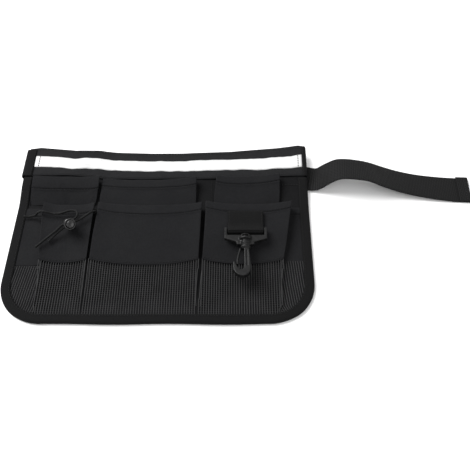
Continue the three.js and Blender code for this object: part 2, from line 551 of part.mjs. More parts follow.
// The hook's loop: a bar through the tab, an ear at each end, and a yoke with the boss that the neck turns in
function hookLoop() {
  const { left, right, ear, earTop, low, thick, z } = LOOP;
  const middle = (left + right) / 2;
  const { x, bossTop, bossEnd, bossRadius, bore } = NECK;
  const yoke = [[left, YOKE.top], [right, YOKE.top], [right, low], [x + YOKE.waist, YOKE.waistY],
    [x + YOKE.waist, YOKE.footY], [x + YOKE.foot, bossEnd], [x - YOKE.foot, bossEnd],
    [x - YOKE.waist, YOKE.footY], [x - YOKE.waist, YOKE.waistY], [left, low]];
  let loop = toSolid(plate(yoke, thick, z, YOKE.bevel));
  for (const earX of [left + ear / 2, right - ear / 2]) {
    loop = loop.add(box(earX, (earTop + low) / 2, z - 0.4, ear, earTop - low, thick + 0.6));
  }
  const bar = new THREE.CylinderGeometry(BAR.radius, BAR.radius, right - left - ear, 12);
  loop = loop.add(toSolid(bar.rotateZ(Math.PI / 2).translate(middle, BAR.y, BAR.z)));
  const sleeve = bossRadius - 1.6;
  const boss = [[0, bossEnd], [sleeve - 0.6, bossEnd], [sleeve, bossEnd + 0.8], [sleeve, bossEnd + 2.1],
    [sleeve - 0.5, bossEnd + 2.5], [sleeve, bossEnd + 3.1], [sleeve, bossEnd + 4.5],
    [bossRadius - 0.2, bossTop - 6], [bossRadius, bossTop - 3.2], [bossRadius - 0.6, bossTop - 1],
    [bossRadius - 1.8, bossTop], [0, bossTop]];
  loop = loop.add(toSolid(turned(boss, x, NECK.z)));
  const hollow = [[0, bossEnd - 1], [bore, bossEnd - 1], [bore, bossTop - 3.9], [bore + 1.1, bossTop - 3.9],
    [bore + 1.1, bossTop + 1], [0, bossTop + 1]];
  const { y: windowY, floor, width, high, deep } = BOSS_WINDOW;
  const window = box(x, windowY, NECK.z + floor + deep / 2, width, high, deep);
  return toGeometry(loop.subtract(toSolid(turned(hollow, x, NECK.z))).subtract(window));
}

// The hook: a headed neck pin, a ribbed collar, a spine with a groove, and a nose that the gate closes on
function snapHook() {
  const { x, z, pin, bossTop, bossEnd } = NECK;
  const headLow = bossTop - 3.5;
  const collarTop = bossEnd - GAP;
  const profile = [[0, -133.4], [3, -133.4], [5, -131.8], [5.4, -131.2], [5.4, -129.8], [4.6, -129.2],
    [4.6, -128.6], [5.4, -128], [5.4, collarTop], [pin, collarTop], [pin, headLow], [4.1, headLow],
    [4.1, bossTop - 1], [3, bossTop - 0.3], [0, bossTop - 0.3]];
  const outline = [[HOOK.eyeRight, -131.6], [95.6, -131.6], [96.4, -142], [97.3, -153], [97.2, -158.4],
    [95.6, -162.4], [92.6, -165], [88.6, -166], [84.6, -165], [81.4, -162.4], [79.4, -158.6], [78.8, -154],
    [79.2, -149.4], [80.4, -148.2], [82.2, -152.4], [84, -156], [86.4, -158.4], [88.8, -158.2],
    [HOOK.eyeRight, -156]];
  const neck = toSolid(turned(profile, x, z));
  const body = toSolid(plate(outline, HOOK.thick, z, HOOK.bevel));
  const groove = box(93.7, -144.6, z + HOOK.thick / 2, 1.3, 19, 1.4);
  return toGeometry(neck.add(body).subtract(groove));
}

// The gate: a thin bowed tongue from the collar to the inside of the nose
function hookGate() {
  const middle = [[86.5, GATE.top], [85.4, -137.4], [84.2, -142.4], [83.5, -147.4], [83.5, -151.8]];
  const line = middle.map(([x, y]) => new THREE.Vector3(x, y, 0));
  const outline = sheetRing(line, GATE.thick, AXIS_Z).map((point) => [point.x, point.y]);
  return plate(outline.reverse(), GATE.deep, NECK.z, 0.4);
}

// The cord lock stands in its own frame: local X along the cord hole, local Y from the barrel to the button
function lockFrame() {
  const heading = THREE.MathUtils.degToRad(LOCK.heading);
  const lean = THREE.MathUtils.degToRad(LOCK.lean);
  const along = new THREE.Vector3(Math.cos(heading), Math.sin(heading), 0);
  const level = new THREE.Vector3(-along.y, along.x, 0);
  const up = level.multiplyScalar(Math.cos(lean)).addScaledVector(AXIS_Z, Math.sin(lean));
  const frame = new THREE.Group();
  frame.quaternion.setFromRotationMatrix(new THREE.Matrix4().makeBasis(along, up, along.clone().cross(up)));
  frame.position.set(...LOCK_HOLE);
  pouch.add(frame);
  return frame;
}

// The barrel of the cord lock, with the button's bore from above and the cord slot across it
function lockBarrel() {
  const [top, foot] = [LOCK.holeDepth, LOCK.holeDepth - LOCK.length];
  const { radius } = LOCK;
  const profile = [[0, foot], [radius - 1.4, foot], [radius - 0.3, foot + 1.2], [radius, foot + 4],
    [radius, top - 2.6], [radius + 0.4, top - 2], [radius + 0.4, top - 0.6], [radius - 0.3, top],
    [BUTTON.bore, top], [BUTTON.bore, top - BUTTON.boreDepth], [0, top - BUTTON.boreDepth]];
  const slot = box(0, 0, 0, 4 * radius, CORD.slotHigh, CORD.slotWide);
  return toGeometry(toSolid(turned(profile, 0, 0, 24)).subtract(slot));
}

// The button that is pressed to free the cord
function lockButton() {
  const top = LOCK.holeDepth + BUTTON.out;
  const foot = LOCK.holeDepth - BUTTON.deep;
  const { radius } = BUTTON;
  const profile = [[0, foot], [radius, foot], [radius, top - 1.2], [radius - 0.5, top - 0.4],
    [radius - 1.4, top], [0, top - 0.5]];
  return turned(profile, 0, 0, 24);
}

// A round cord along its route, with a straight step every two to three diameters
function cord(route) {
  const points = route.map((point) => new THREE.Vector3(...point));
  const curve = new THREE.CatmullRomCurve3(points, false, 'centripetal');
  const shape = new THREE.Shape();
  for (let i = 0; i < CORD.sides; i += 1) {
    const angle = (2 * Math.PI * i) / CORD.sides;
    const [x, y] = [Math.cos(angle) * CORD.diameter / 2, Math.sin(angle) * CORD.diameter / 2];
    if (i === 0) shape.moveTo(x, y);
    else shape.lineTo(x, y);
  }
  const steps = Math.ceil(curve.getLength() / (2 * CORD.diameter));
  const tube = new THREE.ExtrudeGeometry(shape, { steps, extrudePath: curve, bevelEnabled: false });
  return toGeometry(toSolid(tube));
}

addPiece('back_panel', 'cloth', backPanel());
addPiece('edge_binding', 'webbing', edgeBinding());
addPiece('waistband', 'cloth', waistband());
addPiece('reflective_strip', 'reflective', reflectiveStrip());
addPiece('band_end_left', 'webbing', bandEnd(LEFT_END));
addPiece('band_end_right', 'webbing', bandEnd(RIGHT_END));
addPiece('upper_pocket_left', 'cloth', upperPocket(UPPER_LEFT));
addPiece('upper_pocket_centre', 'cloth', upperPocket(UPPER_CENTRE));
addPiece('upper_pocket_right', 'cloth', upperPocket(UPPER_RIGHT));
frontPocket('left_pocket', FRONT_LEFT, -1);
frontPocket('centre_pocket', FRONT_CENTRE, 0);
frontPocket('right_pocket', FRONT_RIGHT, 1);
addPiece('belt', 'webbing', belt());
addPiece('belt_buckle', 'plastic', beltBuckle());
addPiece('hook_tab', 'webbing', hookTab());
addPiece('hook_loop', 'plastic', hookLoop());
addPiece('snap_hook', 'plastic', snapHook());
addPiece('hook_gate', 'plastic', hookGate());
const lock = lockFrame();
addPiece('cord_lock_barrel', 'plastic', lockBarrel(), lock);
addPiece('cord_lock_button', 'plastic', lockButton(), lock);
addPiece('cord_left', 'cord', cord(CORD_LEFT_ROUTE));
addPiece('cord_right', 'cord', cord(CORD_RIGHT_ROUTE));

export default pouch;
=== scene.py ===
import math

import bmesh
import bpy
from bpy.props import FloatProperty, FloatVectorProperty, PointerProperty
from bpy.types import Operator, Panel, PropertyGroup
from mathutils import Matrix, Vector, noise


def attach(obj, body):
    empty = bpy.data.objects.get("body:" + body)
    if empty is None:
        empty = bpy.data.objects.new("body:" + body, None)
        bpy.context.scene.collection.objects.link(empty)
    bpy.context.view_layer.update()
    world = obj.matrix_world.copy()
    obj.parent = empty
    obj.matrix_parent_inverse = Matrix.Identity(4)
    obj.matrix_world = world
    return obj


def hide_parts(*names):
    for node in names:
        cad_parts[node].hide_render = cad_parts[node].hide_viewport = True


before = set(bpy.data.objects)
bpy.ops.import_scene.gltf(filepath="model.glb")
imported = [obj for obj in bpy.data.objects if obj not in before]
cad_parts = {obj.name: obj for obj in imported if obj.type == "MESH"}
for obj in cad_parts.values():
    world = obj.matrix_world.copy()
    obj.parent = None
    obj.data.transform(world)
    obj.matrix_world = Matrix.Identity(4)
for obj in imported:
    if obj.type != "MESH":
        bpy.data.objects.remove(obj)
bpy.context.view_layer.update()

bl_info = {
    "name": "Waist Tool Pouch",
    "version": (1, 0, 0),
    "blender": (4, 5, 0),
    "location": "View3D > Sidebar > Tool Pouch",
    "description": "Dresses a waist tool pouch in woven cloth, net, webbing, cord and moulded plastic",
    "category": "Object",
}

MM = 0.001

# Outline and layers of the pouch, in millimetres as in the part. SEWN_LOW is where sewn-down cloth lies.
POUCH = {"left": -161.2, "right": 163.6, "bottom": -211.0, "corner": 48.0}
PANEL_TOP = 3.4
PANEL_INSET = 1.55
SEWN_LOW = PANEL_TOP + 0.9
BINDING = {"width": 10.5, "upper_end": -27.5}
FLANGE_INSET = BINDING["width"] - 1.5
BAND = {"left": -159.4, "right": 161.8, "back_edge": 6.6}

# The rolled tape at the waistband's ends: side, width, how far it stands out, how far it ends below the top
BAND_ENDS = {"left": (-1, 12.2, 2.3, 2.0), "right": (1, 5.5, 0.4, 1.5)}
STRIP = {"left": -151.0, "right": 158.5}

# Where the front pockets' cloth ends and their nets begin
SEAM_Y = -138.0

# The curl of the upper corners: side, rise, from x, to x, from y, to y
CURLS = (
    (-1, 5.6, 58, 110, -67, -33),
    (1, 10.0, 70, 165, -80, 22),
)

# The waistband's edges along x: x, top, low, strip high, strip low
BAND_EDGES = (
    (-163, 14.6, -25.6, 3.4, -12.4),
    (-148, 17.2, -25.8, 3.2, -12.6),
    (-121, 14.4, -25.4, 1.9, -14),
    (-106, 12.8, -25.6, -0.9, -16.2),
    (-92, 14.3, -25.9, 1.7, -13.9),
    (-79, 16, -26.1, 3, -13.2),
    (-51, 14.1, -26.2, 0.8, -14.2),
    (-16, 13, -26.3, -0.2, -15.4),
    (19, 13.2, -26, 0, -15),
    (40, 14.4, -25.8, 1.8, -14),
    (90, 16.5, -25.6, 2.6, -12.9),
    (104, 16.4, -25.6, 1.6, -14.6),
    (131, 15.4, -25.4, 0.9, -15),
    (146, 16.2, -25.4, 1.4, -15.3),
    (155, 17.3, -25.4, 3, -13.8),
    (165, 15, -25.4, 3.4, -13.4),
)
TOP, LOW, STRIP_HIGH, STRIP_LOW = 1, 2, 3, 4

# Pocket sections from the mouth down: y, left fold, right fold, height at the left fold, height at the right
# fold, height in the middle, how far the section hangs lower in its middle, how far the seam lies under the fold
POCKETS = {
    "upper_pocket_left": (
        (-29.2, -148, -72.9, 9.2, 14.8, 10.8, 2, 3),
        (-35, -148, -72.9, 9.2, 14.2, 10.8, 2, 3),
        (-40, -148, -73.1, 8.8, 13, 10.4, 1.8, 3),
        (-47, -148, -73.7, 8, 10.8, 9, 1, 2.4),
        (-54, -148, -74.2, 7, 8.4, 7.6, 0.5, 1.4),
        (-60, -148, -75.2, 4.9, 6.4, 6.0, 0, 0),
        (-64, -148, -76.6, 3.9, 5.4, 5.0, 0, -1),
    ),
    "upper_pocket_centre": (
        (-29, -69.4, 37, 9.2, 14.4, 10.4, 2.2, 3),
        (-41, -69.9, 37.4, 9, 12.6, 10.2, 2, 3),
        (-54, -70.8, 37.4, 8, 9.2, 7.8, 0.8, 2),
        (-64, -70.4, 37, 6.2, 6.2, 6.2, 0, -1),
        (-66, -62.6, 37, 6, 6, 6, 0, -1),
        (-118, -62.4, 36.4, 5.2, 5.2, 5.2, 0, -1.2),
    ),
    "upper_pocket_right": (
        (-26.6, 60.4, 131.6, 13.6, 13.6, 11.8, 1.2, 3.4),
        (-36, 59.4, 131.4, 12.8, 12.8, 11.2, 1.2, 3),
        (-52, 57.6, 131.2, 9.2, 9.2, 8.2, 0.8, 2),
        (-65, 58.4, 130, 6, 6, 6, 0, -1),
        (-118, 58.4, 128, 5.2, 5.2, 5.2, 0, -1.2),
    ),
    "left_pocket": (
        (-67.6, -129, -73.5, 16.8, 16.8, 14.2, 2.4, 3.6),
        (-80, -129.6, -74.1, 16.2, 16.2, 13.4, 2.4, 3.6),
        (-110, -127.6, -74.9, 13, 13, 10.2, 2.4, 3.2),
        (-138, -125.4, -75.6, 10, 10, 7.6, 3, 2.8),
        (-165, -123.6, -76.2, 7.8, 7.8, 6, 2, 1.4),
        (-190, -122.6, -76.3, 6.2, 6.2, 5.5, 0.5, 0),
        (-199.6, -120.4, -76.2, 5.2, 5.2, 5.2, 0, -1.5),
    ),
    "centre_pocket": (
        (-67.6, -69.2, 45, 17.4, 17.4, 13.6, 2.6, 3.6),
        (-80, -69.8, 44.3, 16.8, 16.8, 13.2, 2.8, 3.6),
        (-110, -71.8, 43.5, 13.6, 13.6, 10.2, 4, 3.2),
        (-138, -72.4, 42.5, 10.4, 10.4, 7.4, 5.6, 2.8),
        (-165, -72.8, 41.8, 7.4, 7.4, 6, 3, 1.2),
        (-199.6, -72.2, 40.4, 5.2, 5.2, 5.2, 0, -1.5),
    ),
    "right_pocket": (
        (-66.6, 48.8, 143.8, 18, 18, 15.2, 3, 4.6),
        (-78, 48.8, 141.9, 17.6, 17.6, 15, 3, 4.6),
        (-110, 47.8, 137, 14.8, 14.8, 13.6, 2.6, 4),
        (-122, 47.3, 135.2, 13, 13, 10.4, 3, 3.6),
        (-131, 46.9, 133.4, 11.6, 11.6, 8, 3.6, 3.2),
        (-138, 46.5, 132.0, 10.8, 10.8, 7.2, 4.6, 3.2),
        (-165, 45.1, 130.0, 9, 9, 5.9, 2.4, 2.8),
        (-190, 44.7, 128.8, 7.2, 7.2, 5.4, 0.5, 1.6),
        (-199.6, 44.4, 123, 5.2, 5.2, 5.2, 0, -1.5),
    ),
}
Y, LEFT, RIGHT, LEFT_EDGE, EDGE, MID, DIP, TUCK = range(8)
WALL_OUT = 0.6
FLANGES = {"left_pocket": -1, "centre_pocket": 0, "right_pocket": 1}
UPPER_POCKETS = ("upper_pocket_left", "upper_pocket_centre", "upper_pocket_right")

# The belt's middle line from the panel to its free end: x, y, z, roll of its section in degrees
BELT_RUN = (
    (-104, -14, 0.8, 0), (-60, -14, 0.8, 0), (0, -14, 0.8, 0), (95, -14.4, 0.8, 0), (130, -17, 0.8, 0),
    (150, -19.8, 0.8, 0), (160, -21.4, 0.8, 0), (168, -23.5, 1.6, -2.3), (176, -24.6, 3.2, -4.5),
    (186, -24.5, 11.9, -6.2), (196, -24.5, 19.4, -7.5), (206, -25.3, 22.1, -10.1), (218, -26.6, 22, -10.8),
    (232, -27.9, 20.1, -11.9), (248, -29.8, 14.1, -9.8), (266, -31.8, 8.2, -8.4), (286, -34.2, 4.1, -6.6),
    (308, -36.9, 2.3, -4.2), (330, -38.9, 1.2, -1.2), (347.6, -39.5, 0.8, 0),
)
BELT_WIDTH = 35.0
BELT_THICK = 1.6
BELT_HEM = 12.0
BELT_SLOPE = 0.034

# The gap between two plies of webbing
PLY_GAP = 0.35

# The plain buckle that the belt's sewn end goes round: its bar's x and height, and the belt's y behind the panel
BUCKLE = {"bar": -114.1, "height": 2.9, "y": -14.0}

# The belt's sewn end: x of its end and of where it leaves the belt, x and z of a place on its way up to the bar,
# and how far from the bar's middle its turn begins
SEWN_END = {"end": -80, "leave": -96, "rise": -104, "rise_z": 3.9, "turn": 0.6}

# The groove under the arch of the boss that the hook turns in: its middle, its floor's and its rim's radius, its
# lower and upper end with their slopes, and the heights between which it fades out at its sides
BOSS = {
    "x": 91.9, "z": 20.0, "floor": 3.9, "rim": 7.2, "low": -123.8, "low_slope": 0.7, "high": -121.2,
    "high_slope": 0.6, "fade": (0.5, 2.5),
}

# The draw cord's two strands, each from its seam through the cord lock to its free end
CORD_LEFT = (
    (-151.6, -81.5, 7.7), (-144, -81.4, 7.8), (-138, -81.6, 10.4), (-133.8, -82.2, 16.2), (-128, -83, 19.4),
    (-117, -84.4, 17.4), (-108, -84.9, 18.6), (-100.6, -83.8, 20.6), (-94.2, -83.5, 21.6), (-90.4, -85.1, 22),
    (-88.8, -88.9, 21.8), (-89.6, -91.6, 21.2), (-91, -93.2, 20.7), (-98.18, -98.59, 20.53),
    (-104.6, -103.4, 20.53), (-109.6, -107.6, 18.2), (-116, -112, 15.6), (-123, -119, 14.6),
    (-129.6, -126.2, 14.2),
)
CORD_RIGHT = (
    (-71.4, -79.6, 6.2), (-71.4, -80.4, 12), (-71.5, -81.8, 17.8), (-74.6, -84.6, 20.2), (-80, -88.6, 19.6),
    (-85.6, -92.4, 18.4), (-90.4, -95.6, 18.27), (-96.82, -100.41, 18.27), (-103.2, -105.2, 18.27),
    (-108.6, -109.4, 16.2), (-113.6, -113.6, 13.8), (-117.4, -118.4, 12.8),
)
CORD_WIDTH = 2.5

# The webbing tab of the hook, and the bar that it is looped round
TAB = {"left": 73.3, "right": 111.5, "thick": 1.3, "top": -81.5, "middle": -90.0, "join": -99.0}
BAR = {"y": -108.0, "z": 17.7, "turn": 3.0}

# The long waves of the lower edge's bound seam: least rise, swing, a place of least rise, length, and where they
# begin and are full
WAVE = {"least": 0.5, "swing": 0.45, "place": -41.6, "length": 113.6, "begin": -192, "full": -209}

# Thicknesses in metres, beside those in the settings
PANEL_THICK = 0.0015
STRIP_THICK = 0.00045

# How dark the tab's webbing is beside the belt's webbing, and how much darker the panel's cloth is made than the
# pockets' cloth: painted shade for the recessed panel between and beside the pockets
PANEL_PAINTED_SHADE = 0.55
TAB_SHADE = 0.48

# How many times as stout as the usual the thread of the strip's ends and the panel's hem is
STOUT_THREAD = 1.7

WHITE = (1.0, 1.0, 1.0)
WORLD_LIGHT = 0.62
UP = Vector((0, 0, 1))


def length_setting(name, description, default):
    return FloatProperty(name=name, description=description, default=default, unit="LENGTH")


def colour_setting(name, description, default):
    return FloatVectorProperty(name=name, description=description, subtype="COLOR", default=default, min=0, max=1)


def place_setting(name, description, default):
    return FloatVectorProperty(
        name=name, description=description, subtype="TRANSLATION", unit="LENGTH", default=default
    )


def power_setting(name, description, default):
    return FloatProperty(name=name, description=description, default=default, unit="POWER")


class PouchSizes(PropertyGroup):
    """Sizes of the cloth, the net and the stitches"""

    cloth: length_setting("Cloth", "Thickness of one layer of cloth", 0.0007)
    tape: length_setting("Tape", "Thickness of the edge binding's tape", 0.0009)
    stitch: length_setting("Stitch", "Length of one stitch", 0.0024)
    stitch_space: length_setting("Stitch Space", "Space between two stitches", 0.0008)
    thread: length_setting("Thread", "Width of the sewing thread", 0.00052)
    net_pitch: length_setting("Net Pitch", "From one yarn of the net to the next", 0.00254)
    rib: length_setting("Net Rib", "Width of a rib of the net", 0.00092)
    strand: length_setting("Net Strand", "Width of a cross strand of the net", 0.00042)


class PouchColours(PropertyGroup):
    """Colours of the pouch and its hardware"""

    cloth: colour_setting("Cloth", "Woven cloth of the panel and pockets", (0.0088, 0.0089, 0.0098))
    band: colour_setting("Band", "Woven cloth of the waistband", (0.0128, 0.0129, 0.0138))
    tape: colour_setting("Tape", "Edge binding", (0.0043, 0.0043, 0.0045))
    webbing: colour_setting("Webbing", "Belt and tab", (0.009, 0.009, 0.0092))
    net: colour_setting("Net", "Net of the front pockets", (0.0185, 0.0186, 0.0192))
    strip: colour_setting("Strip", "Reflective strip", (0.6, 0.6, 0.6))
    plastic: colour_setting("Plastic", "Hook, cord lock and buckle", (0.0062, 0.0062, 0.0064))
    cord: colour_setting("Cord", "Draw cord", (0.0038, 0.0038, 0.004))
    thread: colour_setting("Thread", "Sewing thread", (0.0036, 0.0036, 0.0038))
    floor: colour_setting("Floor", "Studio floor", (0.93, 0.93, 0.93))


class PouchStage(PropertyGroup):
    """Camera and light"""

    eye: place_setting("Eye", "Where the camera stands", (0.081, -0.5043, 0.5891))
    aim: place_setting("Aim", "What the camera looks at", (0.081, -0.1009, 0.0))
    lens: FloatProperty(name="Lens", description="Focal length in millimetres", default=50.0)
    key: power_setting("Key Light", "Power of the lamp on the left", 85.0)
    fill: power_setting("Fill Light", "Power of the lamp beside the camera", 12.0)


def sizes():
    return bpy.context.scene.pouch_sizes


def colours():
    return bpy.context.scene.pouch_colours


# Shapes that the cloth follows

def ease(value, low, high):
    share = min(max((value - low) / (high - low), 0.0), 1.0)
    return share * share * (3 - 2 * share)


def mix(a, b, share):
    return a + (b - a) * share


def spread(low, high, steps):
    """Even places from one value to another, both of them included."""
    return [mix(low, high, k / steps) for k in range(steps + 1)]


def curl(x, y):
    """How far the panel's upper corners rise at a place."""
    rise = 0.0
    for side, height, from_x, to_x, from_y, to_y in CURLS:
        rise += height * ease(side * x, from_x, to_x) * ease(y, from_y, to_y)
    return rise


def on_rows(rows, key, column, place):
    """A column of a table at a place along its key, on straight lines between rows that run either way."""
    ordered = sorted(rows, key=lambda row: row[key])
    if place <= ordered[0][key]:
        return ordered[0][column]
    for a, b in zip(ordered, ordered[1:]):
        if place <= b[key]:
            return mix(a[column], b[column], (place - a[key]) / (b[key] - a[key]))
    return ordered[-1][column]


def band_edge(column, x):
    return on_rows(BAND_EDGES, 0, column, x)


def side_x(y, inset, side):
    """The x of a line a given inset inside the pouch's outline, on the left (-1) or right (1)."""
    edge = POUCH["left"] if side < 0 else POUCH["right"]
    drop = POUCH["bottom"] + POUCH["corner"] - y
    if drop <= 0:
        return edge - side * inset
    reach = math.sqrt(max((POUCH["corner"] - inset) ** 2 - drop * drop, 0.0))
    return edge - side * (POUCH["corner"] - reach)


def ripple(x, y, seed, size, height):
    """A soft unevenness of cloth, the same at every run."""
    return height * noise.noise(Vector((x / size, y / size, seed)))


def pocket_point(name, part, share, y, lift):
    """A place on a pocket: part is flange, wall or face, counted from the left as -2, -1, 0, 1, 2."""
    columns = (LEFT, RIGHT, LEFT_EDGE, EDGE, MID, DIP, TUCK)
    left, right, left_edge, edge, mid, dip, tuck = (on_rows(POCKETS[name], Y, column, y) for column in columns)
    left, right = left - WALL_OUT, right + WALL_OUT
    left_tuck = 0.0 if left_edge < edge else tuck
    if part == 0:
        x = mix(left, right, share)
        slack = 1 - abs(2 * share - 1) ** 3
        y -= dip * (1 - (2 * share - 1) ** 2)
        z = mix(left_edge if share < 0.5 else edge, mid, slack) + lift
    elif abs(part) == 1:
        side = part
        fold, height, under = (right, edge, tuck) if side > 0 else (left, left_edge, left_tuck)
        climb = share if side < 0 else 1 - share
        x = fold - side * under * (1 - climb) + side * lift * 0.6
        z = mix(SEWN_LOW, height, climb) + lift * climb
    else:
        side = part // 2
        foot = right - tuck if side > 0 else left + left_tuck
        rim = side_x(y, FLANGE_INSET, side)
        x = mix(rim, foot, share) if side < 0 else mix(foot, rim, share)
        z = SEWN_LOW + lift
    return Vector((x, y, z + curl(x, y)))


# Meshes

def put(name, data):
    """A new object in the scene."""
    thing = bpy.data.objects.new(name, data)
    bpy.context.scene.collection.objects.link(thing)
    return thing


def add_piece(name, mesh, finish, body="pouch"):
    """Puts a mesh in the scene as a piece that rides on a body."""
    mesh.materials.append(finish_of(finish))
    piece = put(name, mesh)
    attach(piece, body)
    return piece


def to_mesh(name, shape):
    mesh = bpy.data.meshes.new(name)
    shape.to_mesh(mesh)
    shape.free()
    mesh.shade_smooth()
    return mesh


def settle(name, draft):
    """The mesh that a draft comes to with its modifiers. The draft is taken away."""
    mesh = bpy.data.meshes.new_from_object(draft.evaluated_get(bpy.context.evaluated_depsgraph_get()))
    mesh.name = name
    mesh.materials.clear()
    mesh.shade_smooth()
    bpy.data.objects.remove(draft)
    return mesh


def running_lengths(points):
    """The length along a run of points in millimetres up to each of them, in metres."""
    lengths = [0.0]
    for a, b in zip(points, points[1:]):
        lengths.append(lengths[-1] + (Vector(b) - Vector(a)).length * MM)
    return lengths


def middle_lengths(lines):
    """The running lengths across and down the middle of a sheet through lines."""
    return running_lengths(lines[len(lines) // 2]), running_lengths([line[len(line) // 2] for line in lines])


def lay_lines(lines):
    """A sheet through lines of equal point counts, its UV map along and across it in metres."""
    columns, rows = len(lines[0]) - 1, len(lines) - 1
    across, down = middle_lengths(lines)
    shape = bmesh.new()
    bmesh.ops.create_grid(shape, x_segments=columns, y_segments=rows, size=0.5)
    crossing = {}
    for vertex in shape.verts:
        i, j = round((vertex.co.x + 0.5) * columns), round((0.5 - vertex.co.y) * rows)
        crossing[vertex] = (across[i], down[j])
        vertex.co = Vector(lines[j][i]) * MM
    weave = shape.loops.layers.uv.new("weave")
    for face in shape.faces:
        for loop in face.loops:
            loop[weave].uv = crossing[loop.vert]
    return shape


def lay_rings(rings):
    """A closed sweep through rings of equal point counts, capped at both ends."""
    shape = lay_lines([[*ring, ring[0]] for ring in rings])
    bmesh.ops.remove_doubles(shape, verts=shape.verts, dist=1e-6)
    rim = [edge for edge in shape.edges if edge.is_boundary]
    bmesh.ops.holes_fill(shape, edges=rim, sides=0)
    bmesh.ops.recalc_face_normals(shape, faces=shape.faces)
    return shape


def soften(shape, factor):
    inner = [vertex for vertex in shape.verts if not vertex.is_boundary]
    bmesh.ops.smooth_vert(shape, verts=inner, factor=factor, use_axis_x=True, use_axis_y=True, use_axis_z=True)


def thicken(piece, thickness, rounding):
    wall = piece.modifiers.new("thickness", "SOLIDIFY")
    wall.thickness = thickness
    wall.offset = -1.0
    wall.use_even_offset = False
    if rounding:
        round_off = piece.modifiers.new("rounding", "SUBSURF")
        round_off.levels = rounding
        round_off.render_levels = rounding


def sew_sheet(name, node, lines, thickness, finish, softness=0.0, rounding=0):
    """Cloth in a CAD node's place, its UV map a rectangle as long and wide as its middle lines."""
    shape = lay_lines(lines)
    if softness:
        soften(shape, softness)
    piece = add_piece(name, to_mesh(name, shape), finish)
    thicken(piece, thickness, rounding)
    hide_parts(node)


def through(points, steps):
    """Points on a smooth curve through a run of points, steps to each stretch."""
    run = [Vector(point) for point in points]
    line = []
    for k in range(len(run) - 1):
        before = run[max(k - 1, 0)]
        a, b = run[k], run[k + 1]
        after = run[min(k + 2, len(run) - 1)]
        for step in range(steps):
            t = step / steps
            line.append(0.5 * (
                2 * a + (b - before) * t + (2 * before - 5 * a + 4 * b - after) * t * t
                + (3 * a - before - 3 * b + after) * t * t * t
            ))
    line.append(run[-1])
    return line


def spin_threads(name, paths, width, finish):
    """Many round threads as one mesh, each along its own path in millimetres."""
    curve = bpy.data.curves.new(name, "CURVE")
    curve.dimensions = "3D"
    curve.bevel_depth = width / 2
    curve.bevel_resolution = 1
    for path in paths:
        spline = curve.splines.new("POLY")
        spline.points.add(len(path) - 1)
        for spot, point in zip(spline.points, path):
            spot.co = (*(Vector(point) * MM), 1)
    mesh = settle(name, put(name + "_path", curve))
    bpy.data.curves.remove(curve)
    return add_piece(name, mesh, finish)


# Finishes

def shader_of(finish):
    return finish.node_tree.nodes["Principled BSDF"]


def start_finish(name, colour, roughness, sheen=0.0, gloss=0.5):
    """A new material with its plain values on the shader's own sockets."""
    finish = bpy.data.materials.new(name)
    finish.use_nodes = True
    inputs = shader_of(finish).inputs
    inputs["Base Color"].default_value = (*colour, 1)
    inputs["Roughness"].default_value = roughness
    inputs["Specular IOR Level"].default_value = gloss
    inputs["Sheen Weight"].default_value = sheen
    inputs["Sheen Roughness"].default_value = 0.5
    return finish


def add_node(finish, kind, inputs=(), **settings):
    """A node whose numbered or named inputs take a value or another node's output."""
    node = finish.node_tree.nodes.new(kind)
    for key, value in settings.items():
        setattr(node, key, value)
    for key, value in dict(inputs).items():
        if isinstance(value, bpy.types.NodeSocket):
            finish.node_tree.links.new(value, node.inputs[key])
        else:
            node.inputs[key].default_value = value
    return node


def place_of(finish, uv=False, turn=0.0):
    """Where the pattern is read: the piece's own coordinates or its UV map, turned by an angle."""
    if uv:
        place = add_node(finish, "ShaderNodeUVMap", uv_map="weave").outputs["UV"]
    else:
        place = add_node(finish, "ShaderNodeTexCoord").outputs["Object"]
    if turn:
        mapping = add_node(finish, "ShaderNodeMapping", {"Vector": place})
        mapping.inputs["Rotation"].default_value = (0, 0, math.radians(turn))
        place = mapping.outputs["Vector"]
    return place


def bands(finish, place, direction, pitch, distortion):
    """Even threads across a direction, one every pitch metres."""
    wave = add_node(
        finish, "ShaderNodeTexWave",
        {"Vector": place, "Scale": math.pi / (10 * pitch), "Distortion": distortion},
        bands_direction=direction,
    )
    return wave.outputs["Fac"]


def speckle(finish, place, size, detail):
    """Soft grains of a size in metres."""
    grain = add_node(finish, "ShaderNodeTexNoise", {"Vector": place, "Scale": 1 / size, "Detail": detail})
    return grain.outputs["Fac"]


def blend_of(finish, operation, a, b):
    return add_node(finish, "ShaderNodeMath", {0: a, 1: b}, operation=operation).outputs[0]


def weigh(finish, *parts):
    """The sum of some patterns, each times its weight."""
    products = [blend_of(finish, "MULTIPLY", pattern, weight) for pattern, weight in parts]
    total = products[0]
    for product in products[1:]:
        total = blend_of(finish, "ADD", total, product)
    return total


def scaled(colour, factor):
    return tuple(min(channel * factor, 1.0) for channel in colour)


def shade(finish, entry, amount, colour, *stops):
    """Drives one of the shader's inputs by a ramp over an amount, from (place, factor of the colour) stops."""
    ramp = add_node(finish, "ShaderNodeValToRGB", {"Fac": amount})
    elements = ramp.color_ramp.elements
    while len(elements) < len(stops):
        elements.new(0.5)
    for element, (place, factor) in zip(elements, stops):
        element.position = place
        element.color = (*scaled(colour, factor), 1)
    finish.node_tree.links.new(ramp.outputs["Color"], shader_of(finish).inputs[entry])


def raise_relief(finish, height, distance, strength):
    bump = add_node(finish, "ShaderNodeBump", {"Height": height, "Distance": distance, "Strength": strength})
    finish.node_tree.links.new(bump.outputs["Normal"], shader_of(finish).inputs["Normal"])


